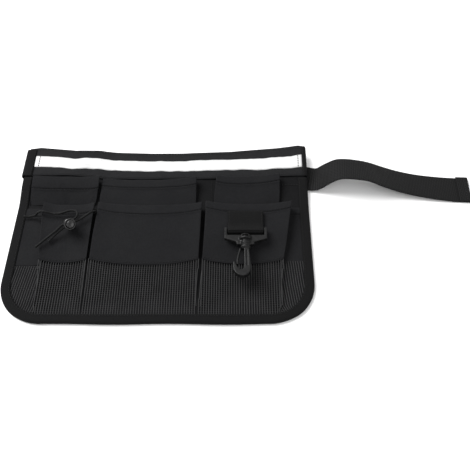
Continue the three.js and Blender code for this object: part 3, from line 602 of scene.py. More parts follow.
def weave_cloth(name, colour):
    """Coarse basket weave with uneven yarn, a dusty sheen, and painted light on its thread tops with painted shade
    between them.
    """
    finish = start_finish(name, colour, 0.82, 0.02, 0.09)
    place = place_of(finish)
    over = bands(finish, place, "X", 0.0011, 0.6)
    under = bands(finish, place, "Y", 0.0011, 0.6)
    weave = blend_of(finish, "MULTIPLY", over, under)
    yarn = speckle(finish, place, 0.0016, 4.0)
    patches = speckle(finish, place, 0.03, 2.0)
    amount = weigh(finish, (weave, 0.35), (yarn, 0.45), (patches, 0.2))
    # Painted light and shade: the weave's crossings lighten the colour and the gaps between its threads darken it; the
    # yarn and the patches add the cloth's own uneven tone.
    shade(finish, "Base Color", amount, colour, (0.22, 0.55), (0.5, 1.0), (0.8, 1.7))
    shade(finish, "Roughness", patches, WHITE, (0.3, 0.74), (0.7, 0.92))
    raise_relief(finish, weigh(finish, (weave, 1.0), (yarn, 0.5)), 0.00016, 0.7)
    return finish


def ribbed_tape(name, colour, rib, warp):
    """Narrow woven tape: ribs across its length, warp yarns along it."""
    finish = start_finish(name, colour, 0.72, 0.012, 0.08)
    place = place_of(finish, uv=True)
    ribs = bands(finish, place, "Y", rib, 0.3)
    yarns = bands(finish, place, "X", warp, 0.8)
    twill = bands(finish, place, "DIAGONAL", 2 * warp, 0.4)
    height = weigh(finish, (ribs, 1.0), (yarns, 0.4), (twill, 0.25))
    fuzz = speckle(finish, place_of(finish), 0.0011, 4.0)
    amount = weigh(finish, (height, 0.4), (fuzz, 0.4))
    # Painted light and shade: the crests of the ribs, yarns and twill lighten the colour and their hollows darken it;
    # the fuzz adds the tape's own uneven tone.
    shade(finish, "Base Color", amount, colour, (0.25, 0.5), (0.55, 1.0), (0.95, 2.0))
    shade(finish, "Roughness", fuzz, WHITE, (0.3, 0.6), (0.7, 0.85))
    raise_relief(finish, height, 0.00022, 0.8)
    return finish


def net_yarn(name):
    """Bundled filaments with a slight gloss."""
    colour = colours().net
    finish = start_finish(name, colour, 0.5, 0.015, 0.2)
    place = place_of(finish)
    fibres = speckle(finish, place, 0.00035, 3.0)
    patches = speckle(finish, place, 0.012, 2.0)
    amount = weigh(finish, (fibres, 0.6), (patches, 0.4))
    shade(finish, "Base Color", amount, colour, (0.3, 0.5), (0.52, 1.0), (0.75, 1.7))
    shade(finish, "Roughness", fibres, WHITE, (0.3, 0.4), (0.7, 0.65))
    raise_relief(finish, fibres, 0.0001, 0.5)
    return finish


def bead_strip(name):
    """Bright tape with a fine beaded face and faint creases."""
    colour = colours().strip
    finish = start_finish(name, colour, 0.45)
    place = place_of(finish)
    beads = add_node(finish, "ShaderNodeTexVoronoi", {"Vector": place, "Scale": 1400.0}).outputs["Distance"]
    creases = speckle(finish, place, 0.006, 3.0)
    amount = weigh(finish, (beads, 0.2), (creases, 0.8))
    # Painted shade: the colour is a little darker in the hollows of the beads and creases that the relief raises.
    shade(finish, "Base Color", amount, colour, (0.2, 0.9), (0.55, 1.0), (0.8, 1.05))
    shade(finish, "Roughness", creases, WHITE, (0.3, 0.38), (0.7, 0.55))
    raise_relief(finish, amount, 0.0001, 0.4)
    return finish


def harden_plastic(name, gloss, sharpest, dullest):
    """Moulded plastic with a fine grain and a few rubbed places."""
    colour = colours().plastic
    finish = start_finish(name, colour, 0.5, gloss=gloss)
    place = place_of(finish)
    grain = speckle(finish, place, 0.0005, 3.0)
    rubbed = speckle(finish, place, 0.006, 4.0)
    shade(finish, "Base Color", rubbed, colour, (0.35, 0.8), (0.6, 1.0), (0.75, 1.8))
    shade(finish, "Roughness", rubbed, WHITE, (0.3, sharpest), (0.7, dullest))
    raise_relief(finish, grain, 0.00006, 0.35)
    return finish


def braided_cord(name):
    """Round braid: two crossing sets of yarns."""
    colour = colours().cord
    finish = start_finish(name, colour, 0.6, 0.015, 0.14)
    one = bands(finish, place_of(finish, turn=80), "X", 0.0012, 0.3)
    other = bands(finish, place_of(finish, turn=-10), "X", 0.0012, 0.3)
    braid = blend_of(finish, "MULTIPLY", one, other)
    fuzz = speckle(finish, place_of(finish), 0.0007, 3.0)
    amount = weigh(finish, (braid, 0.6), (fuzz, 0.4))
    # Painted light and shade: the braid's crossings lighten the colour and the gaps between its yarns darken it; the
    # fuzz adds the cord's own uneven tone.
    shade(finish, "Base Color", amount, colour, (0.15, 0.5), (0.45, 1.0), (0.85, 2.4))
    shade(finish, "Roughness", fuzz, WHITE, (0.3, 0.5), (0.7, 0.75))
    raise_relief(finish, braid, 0.0002, 0.7)
    return finish


def sewing_thread(name):
    """Twisted sewing thread."""
    colour = colours().thread
    finish = start_finish(name, colour, 0.5, 0.02, 0.2)
    twist = bands(finish, place_of(finish), "DIAGONAL", 0.0006, 0.5)
    shade(finish, "Base Color", twist, colour, (0.2, 0.6), (0.8, 1.6))
    shade(finish, "Roughness", twist, WHITE, (0.2, 0.45), (0.8, 0.6))
    return finish


def studio_floor(name):
    colour = colours().floor
    finish = start_finish(name, colour, 0.9)
    patches = speckle(finish, place_of(finish), 0.4, 2.0)
    shade(finish, "Base Color", patches, colour, (0.3, 0.985), (0.7, 1.0))
    return finish


FINISHES = {
    "woven_cloth": lambda name: weave_cloth(name, colours().cloth),
    # The panel's cloth is darkened as painted shade for the recessed panel between and beside the pockets
    "panel_cloth": lambda name: weave_cloth(name, scaled(colours().cloth, PANEL_PAINTED_SHADE)),
    "band_cloth": lambda name: weave_cloth(name, colours().band),
    "edge_tape": lambda name: ribbed_tape(name, colours().tape, 0.0011, 0.0008),
    "belt_webbing": lambda name: ribbed_tape(name, colours().webbing, 0.0019, 0.0012),
    "tab_webbing": lambda name: ribbed_tape(name, scaled(colours().webbing, TAB_SHADE), 0.0009, 0.0009),
    "net_yarn": net_yarn,
    "bead_strip": bead_strip,
    "moulded_plastic": lambda name: harden_plastic(name, 0.22, 0.3, 0.48),
    "polished_plastic": lambda name: harden_plastic(name, 0.5, 0.16, 0.32),
    "braided_cord": braided_cord,
    "sewing_thread": sewing_thread,
    "studio_floor": studio_floor,
}


def finish_of(name):
    return bpy.data.materials.get(name) or FINISHES[name](name)


# Pieces

def mould(name, node, body, voxel, finish="moulded_plastic"):
    """A moulded piece with softly rounded edges, in the place of a hard CAD node."""
    shape = bmesh.new()
    shape.from_mesh(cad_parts[node].data)
    bmesh.ops.remove_doubles(shape, verts=shape.verts, dist=2e-6)
    draft = put(name + "_draft", to_mesh(name + "_draft", shape))
    remesh = draft.modifiers.new("fine", "REMESH")
    remesh.mode = "VOXEL"
    remesh.voxel_size = voxel
    round_off = draft.modifiers.new("rounded", "SMOOTH")
    round_off.factor = 0.5
    round_off.iterations = 6
    piece = add_piece(name, settle(name, draft), finish, body)
    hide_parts(node)
    return piece


def groove_boss(piece):
    """Deepens the groove under the arch of the loop's boss."""
    for spot in piece.data.vertices:
        aside, y, above = spot.co.x / MM - BOSS["x"], spot.co.y / MM, spot.co.z / MM - BOSS["z"]
        reach = math.hypot(aside, above)
        if above <= 0 or not BOSS["floor"] < reach < BOSS["rim"]:
            continue
        depth = ease(y, BOSS["low"], BOSS["low"] + BOSS["low_slope"]) * ease(above, *BOSS["fade"])
        depth *= 1 - ease(y, BOSS["high"] - BOSS["high_slope"], BOSS["high"])
        shrink = mix(reach, BOSS["floor"], depth) / reach
        spot.co.x = (BOSS["x"] + aside * shrink) * MM
        spot.co.z = (BOSS["z"] + above * shrink) * MM


def strap_rings(stops, width, thick):
    """Rounded strap sections along stops of (point, sideways, roll in degrees)."""
    half = ((0, 1.0), (0.25, 1.0), (0.5, 1.0), (0.75, 1.0), (0.95, 1.0), (0.985, 0.7), (1, 0.0))
    upper = [(-share, height) for share, height in reversed(half)] + list(half[1:])
    section = upper + [(share, -height) for share, height in reversed(upper[1:-1])]
    rings = []
    for k, (point, sideways, roll) in enumerate(stops):
        along = (stops[min(k + 1, len(stops) - 1)][0] - stops[max(k - 1, 0)][0]).normalized()
        wide = (sideways - along * sideways.dot(along)).normalized()
        wide = Matrix.Rotation(math.radians(roll), 3, along) @ wide
        rise = along.cross(wide).normalized()
        rings.append([point + wide * (share * width / 2) + rise * (height * thick / 2) for share, height in section])
    return rings


def belt_stops():
    """The belt from its sewn end round the buckle's bar, behind the panel and out to its hem."""
    level = BELT_THICK / 2
    bar, belt_y = BUCKLE["bar"], BUCKLE["y"]
    turn = BUCKLE["height"] - level
    over = level + BELT_THICK + PLY_GAP
    run_on = bar + SEWN_END["turn"]
    points = [(SEWN_END["end"], belt_y, over), (SEWN_END["leave"], belt_y, over)]
    points += [(SEWN_END["rise"], belt_y, SEWN_END["rise_z"]), (run_on, belt_y, level + 2 * turn)]
    for k in range(6, 0, -1):
        angle = math.pi * (k / 7 - 0.5)
        points.append((bar - math.cos(angle) * turn, belt_y, level + turn + math.sin(angle) * turn))
    points.append((run_on, belt_y, level))
    rolls = [0.0] * len(points) + [roll for _, _, _, roll in BELT_RUN]
    points += [(x, y, z) for x, y, z, _ in BELT_RUN]
    end_x, end_y = BELT_RUN[-1][:2]
    hem_turn = (BELT_THICK + PLY_GAP) / 2
    for k in range(1, 5):
        angle = math.pi * (k / 5 - 0.5)
        reach = math.cos(angle) * hem_turn
        points.append((end_x + 0.1 + reach, end_y - BELT_SLOPE * reach, level + hem_turn + math.sin(angle) * hem_turn))
    for back in (0, BELT_HEM * 0.5, BELT_HEM):
        points.append((end_x - back, end_y + back * BELT_SLOPE, level + 2 * hem_turn))
    rolls += [0.0] * (len(points) - len(rolls))
    line = through(points, 3)
    turns = [spot.x for spot in through([(roll, 0, 0) for roll in rolls], 3)]
    stops = []
    for k, point in enumerate(line):
        ahead = line[min(k + 1, len(line) - 1)] - line[max(k - 1, 0)]
        if abs(ahead.x) > 0.3:
            level_way = Vector((ahead.x, ahead.y, 0)) * math.copysign(1, ahead.x)
            sideways = Vector((-level_way.y, level_way.x, 0)).normalized()
        elif point.x > 0:
            sideways = Vector((BELT_SLOPE, 1, 0)).normalized()
        else:
            sideways = Vector((0, 1, 0))
        stops.append((point, sideways, turns[k] * math.copysign(1, ahead.x)))
    return stops


def tab_stops():
    """The tab's two layers, from the upper sewn end round the hook's bar and back."""
    face_dip, face_gap = 2.8, 0.45 + TAB["thick"] / 2
    ends = (TAB["top"], TAB["middle"], TAB["join"])
    lower = [(y, on_rows(POCKETS["right_pocket"], Y, MID, y + face_dip) + face_gap) for y in ends]
    section = [(y, z + TAB["thick"] + PLY_GAP) for y, z in lower]
    for angle in spread(math.pi / 2, math.pi * 1.5, 8):
        section.append((BAR["y"] + math.cos(angle) * BAR["turn"], BAR["z"] + math.sin(angle) * BAR["turn"]))
    section += reversed(lower)
    middle = (TAB["left"] + TAB["right"]) / 2
    line = through([(middle, y, z) for y, z in section], 3)
    return [(point, Vector((1, 0, 0)), 0.0) for point in line]


def panel_y(x, share):
    """Rows of the back panel from its upper edge down, closer together round the lower corners."""
    bend = POUCH["bottom"] + POUCH["corner"]
    under_band, straight = 3.6, 0.7
    if share <= straight:
        return mix(band_edge(TOP, x) - under_band, bend, share / straight)
    turn = math.radians(90 * (share - straight) / (1 - straight))
    return bend - (POUCH["corner"] - PANEL_INSET) * math.sin(turn)


def lower_wave(x, y):
    """How far the lower edge is drawn up, in the long waves of its bound seam."""
    swing = 1 - math.cos(2 * math.pi * (x - WAVE["place"]) / WAVE["length"])
    return (WAVE["least"] + WAVE["swing"] * swing) * ease(y, WAVE["begin"], WAVE["full"])


def panel_point(across, share):
    x = mix(BAND["left"], BAND["right"], across)
    y = panel_y(x, share)
    x = mix(side_x(y, PANEL_INSET, -1), side_x(y, PANEL_INSET, 1), across)
    y += lower_wave(x, y)
    return Vector((x, y, PANEL_TOP + curl(x, y) + ripple(x, y, 1.7, 16, 0.25)))


def rim_stations():
    """Places along the pouch's outline, from the upper left round the lower edge: point and outward way."""
    bend = POUCH["bottom"] + POUCH["corner"]
    left = POUCH["left"] + POUCH["corner"]
    right = POUCH["right"] - POUCH["corner"]
    sides = spread(BINDING["upper_end"], bend, 34)[:-1]
    turns = spread(0.0, 90.0, 24)
    stations = [(left, y, -1, 0.0) for y in sides]
    stations += [(left, bend, -1, turn) for turn in turns]
    stations += [(x, bend, 1, 90.0) for x in spread(left, right, 50)[1:-1]]
    stations += [(right, bend, 1, turn) for turn in reversed(turns)]
    stations += [(right, y, 1, 0.0) for y in reversed(sides)]
    line = []
    for x, y, side, degrees in stations:
        angle = math.radians(degrees)
        outward = Vector((side * math.cos(angle), -math.sin(angle), 0))
        line.append((Vector((x, y, 0)) + outward * POUCH["corner"], outward))
    return line


# The binding's section, from the edge behind, round the rim, to the front: inset from the rim and height
BINDING_SECTION = (
    (8.0, 0.05), (5.0, 0.0), (2.2, 0.05), (0.9, 0.35), (0.2, 1.2), (0.0, 2.4), (0.2, 3.7), (0.9, 4.6), (2.2, 4.95),
    (4.5, 5.0), (7.0, 4.98), (9.2, 4.9), (10.2, 4.8), (10.5, 4.4),
)


def binding_point(rim, outward, inset, height, place):
    point = rim - outward * inset
    pucker = ripple(place * 0.16, inset * 0.2, 4.4, 1.0, 0.22) if height > 4 else 0.0
    point.z = height + pucker + curl(point.x, point.y)
    point.y += lower_wave(point.x, point.y)
    return point


# The waistband's section over the panel's upper edge: from the edge behind, over the fold, to the front
BAND_SLACK = 0.8
BAND_STEPS = 150
BAND_BACK = -3.25
BAND_PROUD = 1.75
STRIP_PROUD = 2.45
BAND_FOLD = ((-2.0, -3.1), (-0.7, -2.5), (-0.1, -1.4), (0.0, -0.5), (-0.2, 0.5), (-0.9, 1.3))


def band_front(x, y, proud=BAND_PROUD):
    """A place on the waistband's front, proud of the panel, with its puckers."""
    pucker = ripple(x, y * 0.3, 8.2, 14, 0.8) + ripple(x, y, 2.4, 6, 0.25)
    return Vector((x, y, PANEL_TOP + proud + pucker + curl(x, y)))


def band_line(across):
    """Points down the waistband's section at a share of its length."""
    x = mix(BAND["left"], BAND["right"], across)
    top, low = band_edge(TOP, x) + BAND_SLACK, band_edge(LOW, x)
    line = [Vector((x, BAND["back_edge"], PANEL_TOP + BAND_BACK + curl(x, BAND["back_edge"])))]
    for back, height in BAND_FOLD:
        line.append(Vector((x, top + back, PANEL_TOP + height + curl(x, top + back))))
    line += [band_front(x, y) for y in spread(top - 2.0, low + 0.5, 14)]
    line.append(band_front(x, low, 1.2))
    line.append(band_front(x, low + 0.4, 0.55))
    return line


def strip_point(x, share, lift=0.0):
    high = band_edge(STRIP_HIGH, x) + ripple(x, 0, 5.1, 9, 0.5)
    low = band_edge(STRIP_LOW, x) + ripple(x, 0, 9.3, 9, 0.6)
    y = mix(high, low, share)
    z = band_front(x, y, STRIP_PROUD).z - 0.35 * abs(2 * share - 1) ** 6
    return Vector((x, y, z + lift))


def band_end_lines(end):
    """The tape rolled round one end of the waistband, from its upper end down."""
    side, width, over, short = BAND_ENDS[end]
    rim = POUCH[end] + side * over
    section = ((width, -4.4), (width * 0.6, -4.5), (2.0, -4.4), (0.7, -3.6), (0.0, -1.6), (0.0, 0.6), (0.5, 2.2),
               (1.6, 3.1), (width * 0.35, 3.5), (width * 0.6, 3.45), (width * 0.85, 3.2), (width, 2.7))
    if side > 0:
        section = tuple(reversed(section))
    lines = []
    for y in spread(band_edge(TOP, rim - side * 2) - short, -26.8, 28):
        line = []
        for inset, height in section:
            x = rim - side * inset
            crush = ripple(x * 0.5, y, 6.6, 8, 0.35) if height > 2 else 0.0
            line.append(Vector((x, y, max(PANEL_TOP + height + crush + curl(x, y), 0.05))))
        lines.append(line)
    return lines


def pocket_columns(flange):
    """Places across a pocket, from its left seam to its right one: part and share."""
    face, wall, flat = 52, 5, 8
    columns = [(-2, k / flat) for k in range(flat)] if flange < 0 else []
    columns += [(-1, k / wall) for k in range(wall)]
    columns += [(0, k / face) for k in range(face + 1)]
    columns += [(1, k / wall) for k in range(1, wall + 1)]
    if flange > 0:
        columns += [(2, k / flat) for k in range(1, flat + 1)]
    return columns


# The folded hem at a pocket's mouth: below the mouth, under the face's outside
HEM_FOLD = (
    (10.0, -1.5), (5.5, -1.6), (1.4, -1.5), (0.35, -1.15), (0.0, -0.7), (0.35, -0.2), (1.2, 0.05), (4.5, 0.16),
    (7.0, 0.26), (8.0, 0.22), (8.5, -0.6), (8.9, -1.25), (9.3, -0.6), (9.9, 0.1), (10.6, 0.0), (11.8, -0.62),
)
HEM_END = 13.5
HEM_STITCH = 8.9
HEM_DEPTHS = {
    "upper_pocket_left": 15.5, "upper_pocket_centre": 10.5, "upper_pocket_right": 9.3,
    "left_pocket": 11.4, "centre_pocket": 10.3, "right_pocket": 9.4,
}
FACE_LIFT = -0.62

# How much lower the net begins beside the left pocket than on it
FLANGE_DROP = 4.6
FLANGE_EASE = 30

# How much deeper the hem hangs in the middle, and below the mouth: from where, full from, to, and where it ends
HEM_SAG = 1.5
HEM_SAG_RUN = (2, 9, 12, 24)


def pocket_rows(name, end):
    """Rows down a pocket's cloth from inside the hem, over the mouth, to its lower end: drop and lift."""
    depth = POCKETS[name][0][Y] - end
    deeper = HEM_DEPTHS[name] - HEM_STITCH
    hem = [(drop + deeper * ease(drop, 1.5, 7), lift) for drop, lift in HEM_FOLD]
    count = max(round((depth - HEM_END - deeper) / 3.2), 3)
    return hem + [(drop, FACE_LIFT) for drop in spread(HEM_END + deeper, depth, count)]


def hem_point(name, part, share, drop, lift):
    """A place below a pocket's mouth, where the hem hangs a little deeper in the middle."""
    slack = 1 - abs(2 * share - 1) ** 3 if part == 0 else 0.0
    begin, full, fade, end = HEM_SAG_RUN
    sag = HEM_SAG * ease(drop, begin, full) * (1 - ease(drop, fade, end)) * slack
    return pocket_point(name, part, share, POCKETS[name][0][Y] - drop - sag, lift)


def pocket_lines(name, end, flange):
    """Lines down a pocket's cloth with its folded hem and pleated sides."""
    columns = pocket_columns(flange)
    seed = len(name) + 3.3 * flange
    lines = []
    for drop, lift in pocket_rows(name, end):
        line = []
        for part, share in columns:
            point = hem_point(name, part, share, drop, lift)
            if part == -2:
                point.y -= FLANGE_DROP * ease(point.y, SEAM_Y + FLANGE_EASE, SEAM_Y)
            elif part == 0:
                loose = 1 - abs(2 * share - 1) ** 4
                x, y = point.x, point.y
                point.z += loose * (ripple(x, y, seed, 26, 0.9) + ripple(x, y, seed + 5, 9, 0.25) + crease(x, y))
            line.append(point)
        lines.append(line)
    return lines


# Creases in the pockets' cloth: from x, y, to x, y, width, height
CREASES = (
    (-117.1, -45.8, -108.1, -58.2, 3.2, 1.2),
    (-84.6, -51.6, -75.4, -46.2, 2.6, 0.9),
    (-79.4, -51.0, -80.6, -64.0, 2.8, 0.9),
    (-88.0, -96.0, -79.0, -132.0, 7.0, 0.8),
    (-12.0, -92.0, 30.0, -132.0, 14.0, 0.8),
)


def crease(x, y):
    """How far the creases lift the cloth at a place."""
    rise = 0.0
    for from_x, from_y, to_x, to_y, width, height in CREASES:
        along = Vector((to_x - from_x, to_y - from_y))
        away = Vector((x - from_x, y - from_y))
        share = min(max(away.dot(along) / along.length_squared, 0.0), 1.0)
        distance = (away - along * share).length
        rise += height * (1 - ease(distance, 0, width)) * math.sin(math.pi * mix(0.15, 0.85, share))
    return rise


# The nets: where they begin and end, the steps down a rib, how deep they lie under the cloth, how far they reach
# beyond a pocket's half width, and how high their ribs and their strands, under and over, lie
NET_TOP = SEAM_Y + 1.0
NET_END = -201.5
NET_LEVELS = 30
NET_SINK = 0.8
NET_REACH = {"flange": 46, "wall": 16}
RIB_LIFT = -0.75
STRAND_LIFTS = (-1.25, -0.95)


def net_point(name, offset, y, lift):
    """A place on a front pocket's net, an offset sideways of its middle, or None where the net has ended."""
    rows = POCKETS[name]
    left, right, edge, tuck = (on_rows(rows, Y, column, y) for column in (LEFT, RIGHT, EDGE, TUCK))
    seam_left, seam_right = on_rows(rows, Y, LEFT, SEAM_Y), on_rows(rows, Y, RIGHT, SEAM_Y)
    x = (seam_left + seam_right) / 2 + offset
    share = (x - left) / (right - left)
    if 0 <= share <= 1:
        point = pocket_point(name, 0, share, y, lift - NET_SINK)
        loose = 1 - abs(2 * share - 1) ** 4
        point.z += loose * ripple(point.x, y, 12.5, 24, 0.6)
        return point
    side = -1 if share < 0 else 1
    beyond = left - x if side < 0 else x - right
    wall = edge - SEWN_LOW
    if beyond <= wall:
        climb = 1 - beyond / wall
        return pocket_point(name, side, climb if side < 0 else 1 - climb, y, lift - NET_SINK * climb)
    foot = (left + tuck if side < 0 else right - tuck) + side * (WALL_OUT + beyond - wall)
    if FLANGES[name] != side or side * foot > side * side_x(y, FLANGE_INSET, side):
        return None
    if side < 0 and y > NET_TOP - FLANGE_DROP:
        return None
    return Vector((foot, y, SEWN_LOW + lift + curl(foot, y)))


def net_runs(points):
    """The unbroken runs in a line of places that holds gaps."""
    runs, run = [], []
    for point in [*points, None]:
        if point is not None:
            run.append(point)
            continue
        if len(run) > 1:
            runs.append(run)
        run = []
    return runs


def knit_net(name):
    """Ribs down the net and strands across it, each its own yarn."""
    pitch = sizes().net_pitch / MM
    reach = NET_REACH["flange"] if FLANGES[name] else NET_REACH["wall"]
    half = (on_rows(POCKETS[name], Y, RIGHT, SEAM_Y) - on_rows(POCKETS[name], Y, LEFT, SEAM_Y)) / 2
    count = round(2 * (half + reach) / pitch)
    offsets = [(k - (count - 1) / 2) * pitch for k in range(count)]
    levels = spread(NET_TOP, NET_END, NET_LEVELS)
    ribs, strands = [], []
    for offset in offsets:
        ribs += net_runs([net_point(name, offset, y, RIB_LIFT) for y in levels])
    for k in range(1, round((NET_TOP - NET_END) / pitch)):
        y = NET_TOP - (k + 0.5) * pitch
        places = [net_point(name, offset, y, STRAND_LIFTS[(k + j) % 2]) for j, offset in enumerate(offsets)]
        strands += net_runs(places)
    piece = spin_threads(name + "_net_ribs", ribs, sizes().rib, "net_yarn")
    spin_threads(name + "_net_strands", strands, sizes().strand, "net_yarn")
    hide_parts(name + "_mesh")


# Stitches

# Seams down the panel beside the upper pockets: x, lower end. They begin at SEAM_TOP.
PANEL_SEAMS = ((40.6, -66), (54.4, -66), (134.6, -64))
SEAM_TOP = -29

# The panel's hem at the upper right: y, from x, to x
PANEL_HEM = (-36.5, 133.5, 153.5)

# How far from its edge each other line is sewn
SEWN_IN = {
    "net": 2.4, "band_low": 2.4, "band_top": 4.0, "binding": 9.0, "band_end": 1.4, "tab": 1.8, "belt_end": 3.0,
    "belt_hem": 2.6, "strip": 4.6,
}

# How high each line lies: on the pockets beside their face, on the rest above the panel, the band's or tab's face
SEWN_AT = {
    "hem": -0.75, "net": -0.45, "band": 1.8, "binding": 4.95, "band_end": 3.2, "tab": 0.68, "belt": 3.65,
    "strip": 0.5, "panel": 0.3,
}
STITCH_LIFT = 0.12


def stitch_along(shape, line, stout):
    """Sews stitches along a line of points in millimetres, their thread some times as stout as the usual."""
    lengths = running_lengths(line)
    half = sizes().stitch / MM / 2
    thread = stout * sizes().thread / MM / 2
    count = max(int(lengths[-1] / (sizes().stitch + sizes().stitch_space)), 1)
    spot = 0
    for k in range(count):
        place = (k + 0.5) * lengths[-1] / count
        while spot < len(line) - 2 and lengths[spot + 1] < place:
            spot += 1
        a, b = line[spot], line[spot + 1]
        along = (b - a).normalized()
        centre = a + (b - a) * ((place - lengths[spot]) / max(lengths[spot + 1] - lengths[spot], 1e-9))
        side = UP.cross(along).normalized()
        rise = along.cross(side).normalized()
        turn = Matrix((side * thread, rise * thread, along * half)).transposed().to_4x4()
        matrix = Matrix.Scale(MM, 4) @ Matrix.Translation(centre + rise * STITCH_LIFT) @ turn
        bmesh.ops.create_uvsphere(shape, u_segments=6, v_segments=4, radius=1.0, matrix=matrix)


def pocket_stitch(name, drop, lift):
    """A line of stitches across a pocket's face."""
    return [hem_point(name, 0, share, drop, lift) for share in spread(0.012, 0.988, 40)]


def panel_spot(x, y, lift=SEWN_AT["panel"]):
    return Vector((x, y, PANEL_TOP + curl(x, y) + lift))


def stitch_lines():
    """Every line of the pouch that is sewn with the usual thread."""
    lines = [pocket_stitch(name, HEM_DEPTHS[name], SEWN_AT["hem"]) for name in POCKETS]
    for name in FLANGES:
        lines.append(pocket_stitch(name, POCKETS[name][0][Y] - SEAM_Y - SEWN_IN["net"], SEWN_AT["net"]))
    across = spread(BAND["left"] + 3, BAND["right"] - 3, 120)
    lines.append([band_front(x, band_edge(LOW, x) + SEWN_IN["band_low"], SEWN_AT["band"]) for x in across])
    lines.append([band_front(x, band_edge(TOP, x) - SEWN_IN["band_top"], SEWN_AT["band"]) for x in across])
    rim = enumerate(rim_stations())
    lines.append([binding_point(spot, way, SEWN_IN["binding"], SEWN_AT["binding"], k) for k, (spot, way) in rim])
    for x, low in PANEL_SEAMS:
        lines.append([panel_spot(x, y) for y in spread(SEAM_TOP, low, 10)])
    for end, (side, width, over, _) in BAND_ENDS.items():
        x = POUCH[end] + side * over - side * (width - SEWN_IN["band_end"])
        lines.append([panel_spot(x, y, SEWN_AT["band_end"]) for y in spread(13, -25, 12)])
    tab_face = [point + UP * SEWN_AT["tab"] for point, _, _ in tab_stops()[:7]]
    half = (TAB["right"] - TAB["left"]) / 2 - SEWN_IN["tab"]
    for side in (-half, half):
        lines.append([point + Vector((side, 0, 0)) for point in tab_face])
    lines.append([tab_face[-1] + Vector((side, 0, 0)) for side in spread(-half, half, 10)])
    end_x, end_y = BELT_RUN[-1][:2]
    for back in (SEWN_IN["belt_end"], BELT_HEM - SEWN_IN["belt_hem"]):
        x, y = end_x - back, end_y + BELT_SLOPE * back
        lines.append([Vector((x + BELT_SLOPE * side, y + side, SEWN_AT["belt"])) for side in spread(-16, 16, 10)])
    return lines


def seam_lines():
    """The lines that are sewn with a stouter thread: the strip's ends and the panel's hem."""
    ends = (STRIP["left"] + SEWN_IN["strip"], STRIP["right"] - SEWN_IN["strip"])
    lines = [[strip_point(x, share, SEWN_AT["strip"]) for share in spread(0, 1, 8)] for x in ends]
    y, from_x, to_x = PANEL_HEM
    lines.append([panel_spot(x, y) for x in spread(from_x, to_x, 8)])
    return lines


# Operators

def stand(name, data, place, aim):
    """Puts a lamp or camera in its place, turned to what it looks at."""
    holder = put(name, data)
    holder.location = place
    holder.rotation_euler = (Vector(aim) - Vector(place)).to_track_quat("-Z", "Y").to_euler()
    return holder


class POUCH_OT_set_stage(Operator):
    """Sets the floor, the lights and the camera"""

    bl_idname = "pouch.set_stage"
    bl_label = "Set Stage"

    def execute(self, context):
        stage = context.scene.pouch_stage
        shape = bmesh.new()
        bmesh.ops.create_grid(shape, x_segments=12, y_segments=12, size=6.0)
        floor = put("floor", to_mesh("floor", shape))
        floor.data.materials.append(finish_of("studio_floor"))
        floor.data.transform(Matrix.Translation((0, 0, -0.0002)))
        for name, place, power in (
            ("key_lamp", (-1.3, 0.7, 1.9), stage.key),
            ("fill_lamp", (0.5, -1.3, 1.6), stage.fill),
        ):
            lamp = bpy.data.lights.new(name, "AREA")
            lamp.size = 1.6
            lamp.energy = power
            stand(name, lamp, place, stage.aim)
        world = bpy.data.worlds.new("studio")
        world.use_nodes = True
        world.node_tree.nodes["Background"].inputs["Color"].default_value = (*WHITE, 1)
        world.node_tree.nodes["Background"].inputs["Strength"].default_value = WORLD_LIGHT
        context.scene.world = world
        context.scene.view_settings.view_transform = "Standard"
        camera = bpy.data.cameras.new("camera")
        camera.lens = stage.lens
        camera.sensor_width = 36.0
        camera.clip_start = 0.01
        context.scene.camera = stand("camera", camera, stage.eye, stage.aim)
        return {"FINISHED"}


class POUCH_OT_lay_cords(Operator):
    """Lays the draw cord's two strands through the cord lock"""

    bl_idname = "pouch.lay_cords"
    bl_label = "Lay Cords"

    def execute(self, context):
        barrel = mould("lock_barrel", "cord_lock_barrel", "pouch", 0.00026, "polished_plastic")
        button = mould("lock_button", "cord_lock_button", "button", 0.0002, "polished_plastic")
        for name, node, route, on_it in (
            ("draw_cord_left", "cord_left", CORD_LEFT, [barrel, button]),
            ("draw_cord_right", "cord_right", CORD_RIGHT, []),
        ):
            curve = bpy.data.curves.new(name, "CURVE")
            curve.dimensions = "3D"
            curve.bevel_depth = CORD_WIDTH * MM / 2
            curve.bevel_resolution = 3
            curve.use_fill_caps = True
            spline = curve.splines.new("BEZIER")
            spline.resolution_u = 8
            spline.bezier_points.add(len(route) - 1)
            for spot, point in zip(spline.bezier_points, route):
                spot.co = Vector(point) * MM
                spot.handle_left_type = "AUTO"
                spot.handle_right_type = "AUTO"
            curve.materials.append(finish_of("braided_cord"))
            cord = put(name, curve)
            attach(cord, "pouch")
            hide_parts(node)
        return {"FINISHED"}


class POUCH_OT_sew_panel(Operator):
    """Makes the back panel and binds its edge"""

    bl_idname = "pouch.sew_panel"
    bl_label = "Sew Panel"

    def execute(self, context):
        lines = [[panel_point(across, down) for across in spread(0, 1, 90)] for down in spread(0, 1, 60)]
        # The panel's darker cloth is painted shade for its recessed parts between and beside the pockets
        sew_sheet("panel", "back_panel", lines, PANEL_THICK, "panel_cloth")
        lines = []
        for k, (rim, outward) in enumerate(rim_stations()):
            lines.append([binding_point(rim, outward, inset, height, k) for inset, height in BINDING_SECTION])
        sew_sheet("binding", "edge_binding", lines, sizes().tape, "edge_tape")
        return {"FINISHED"}


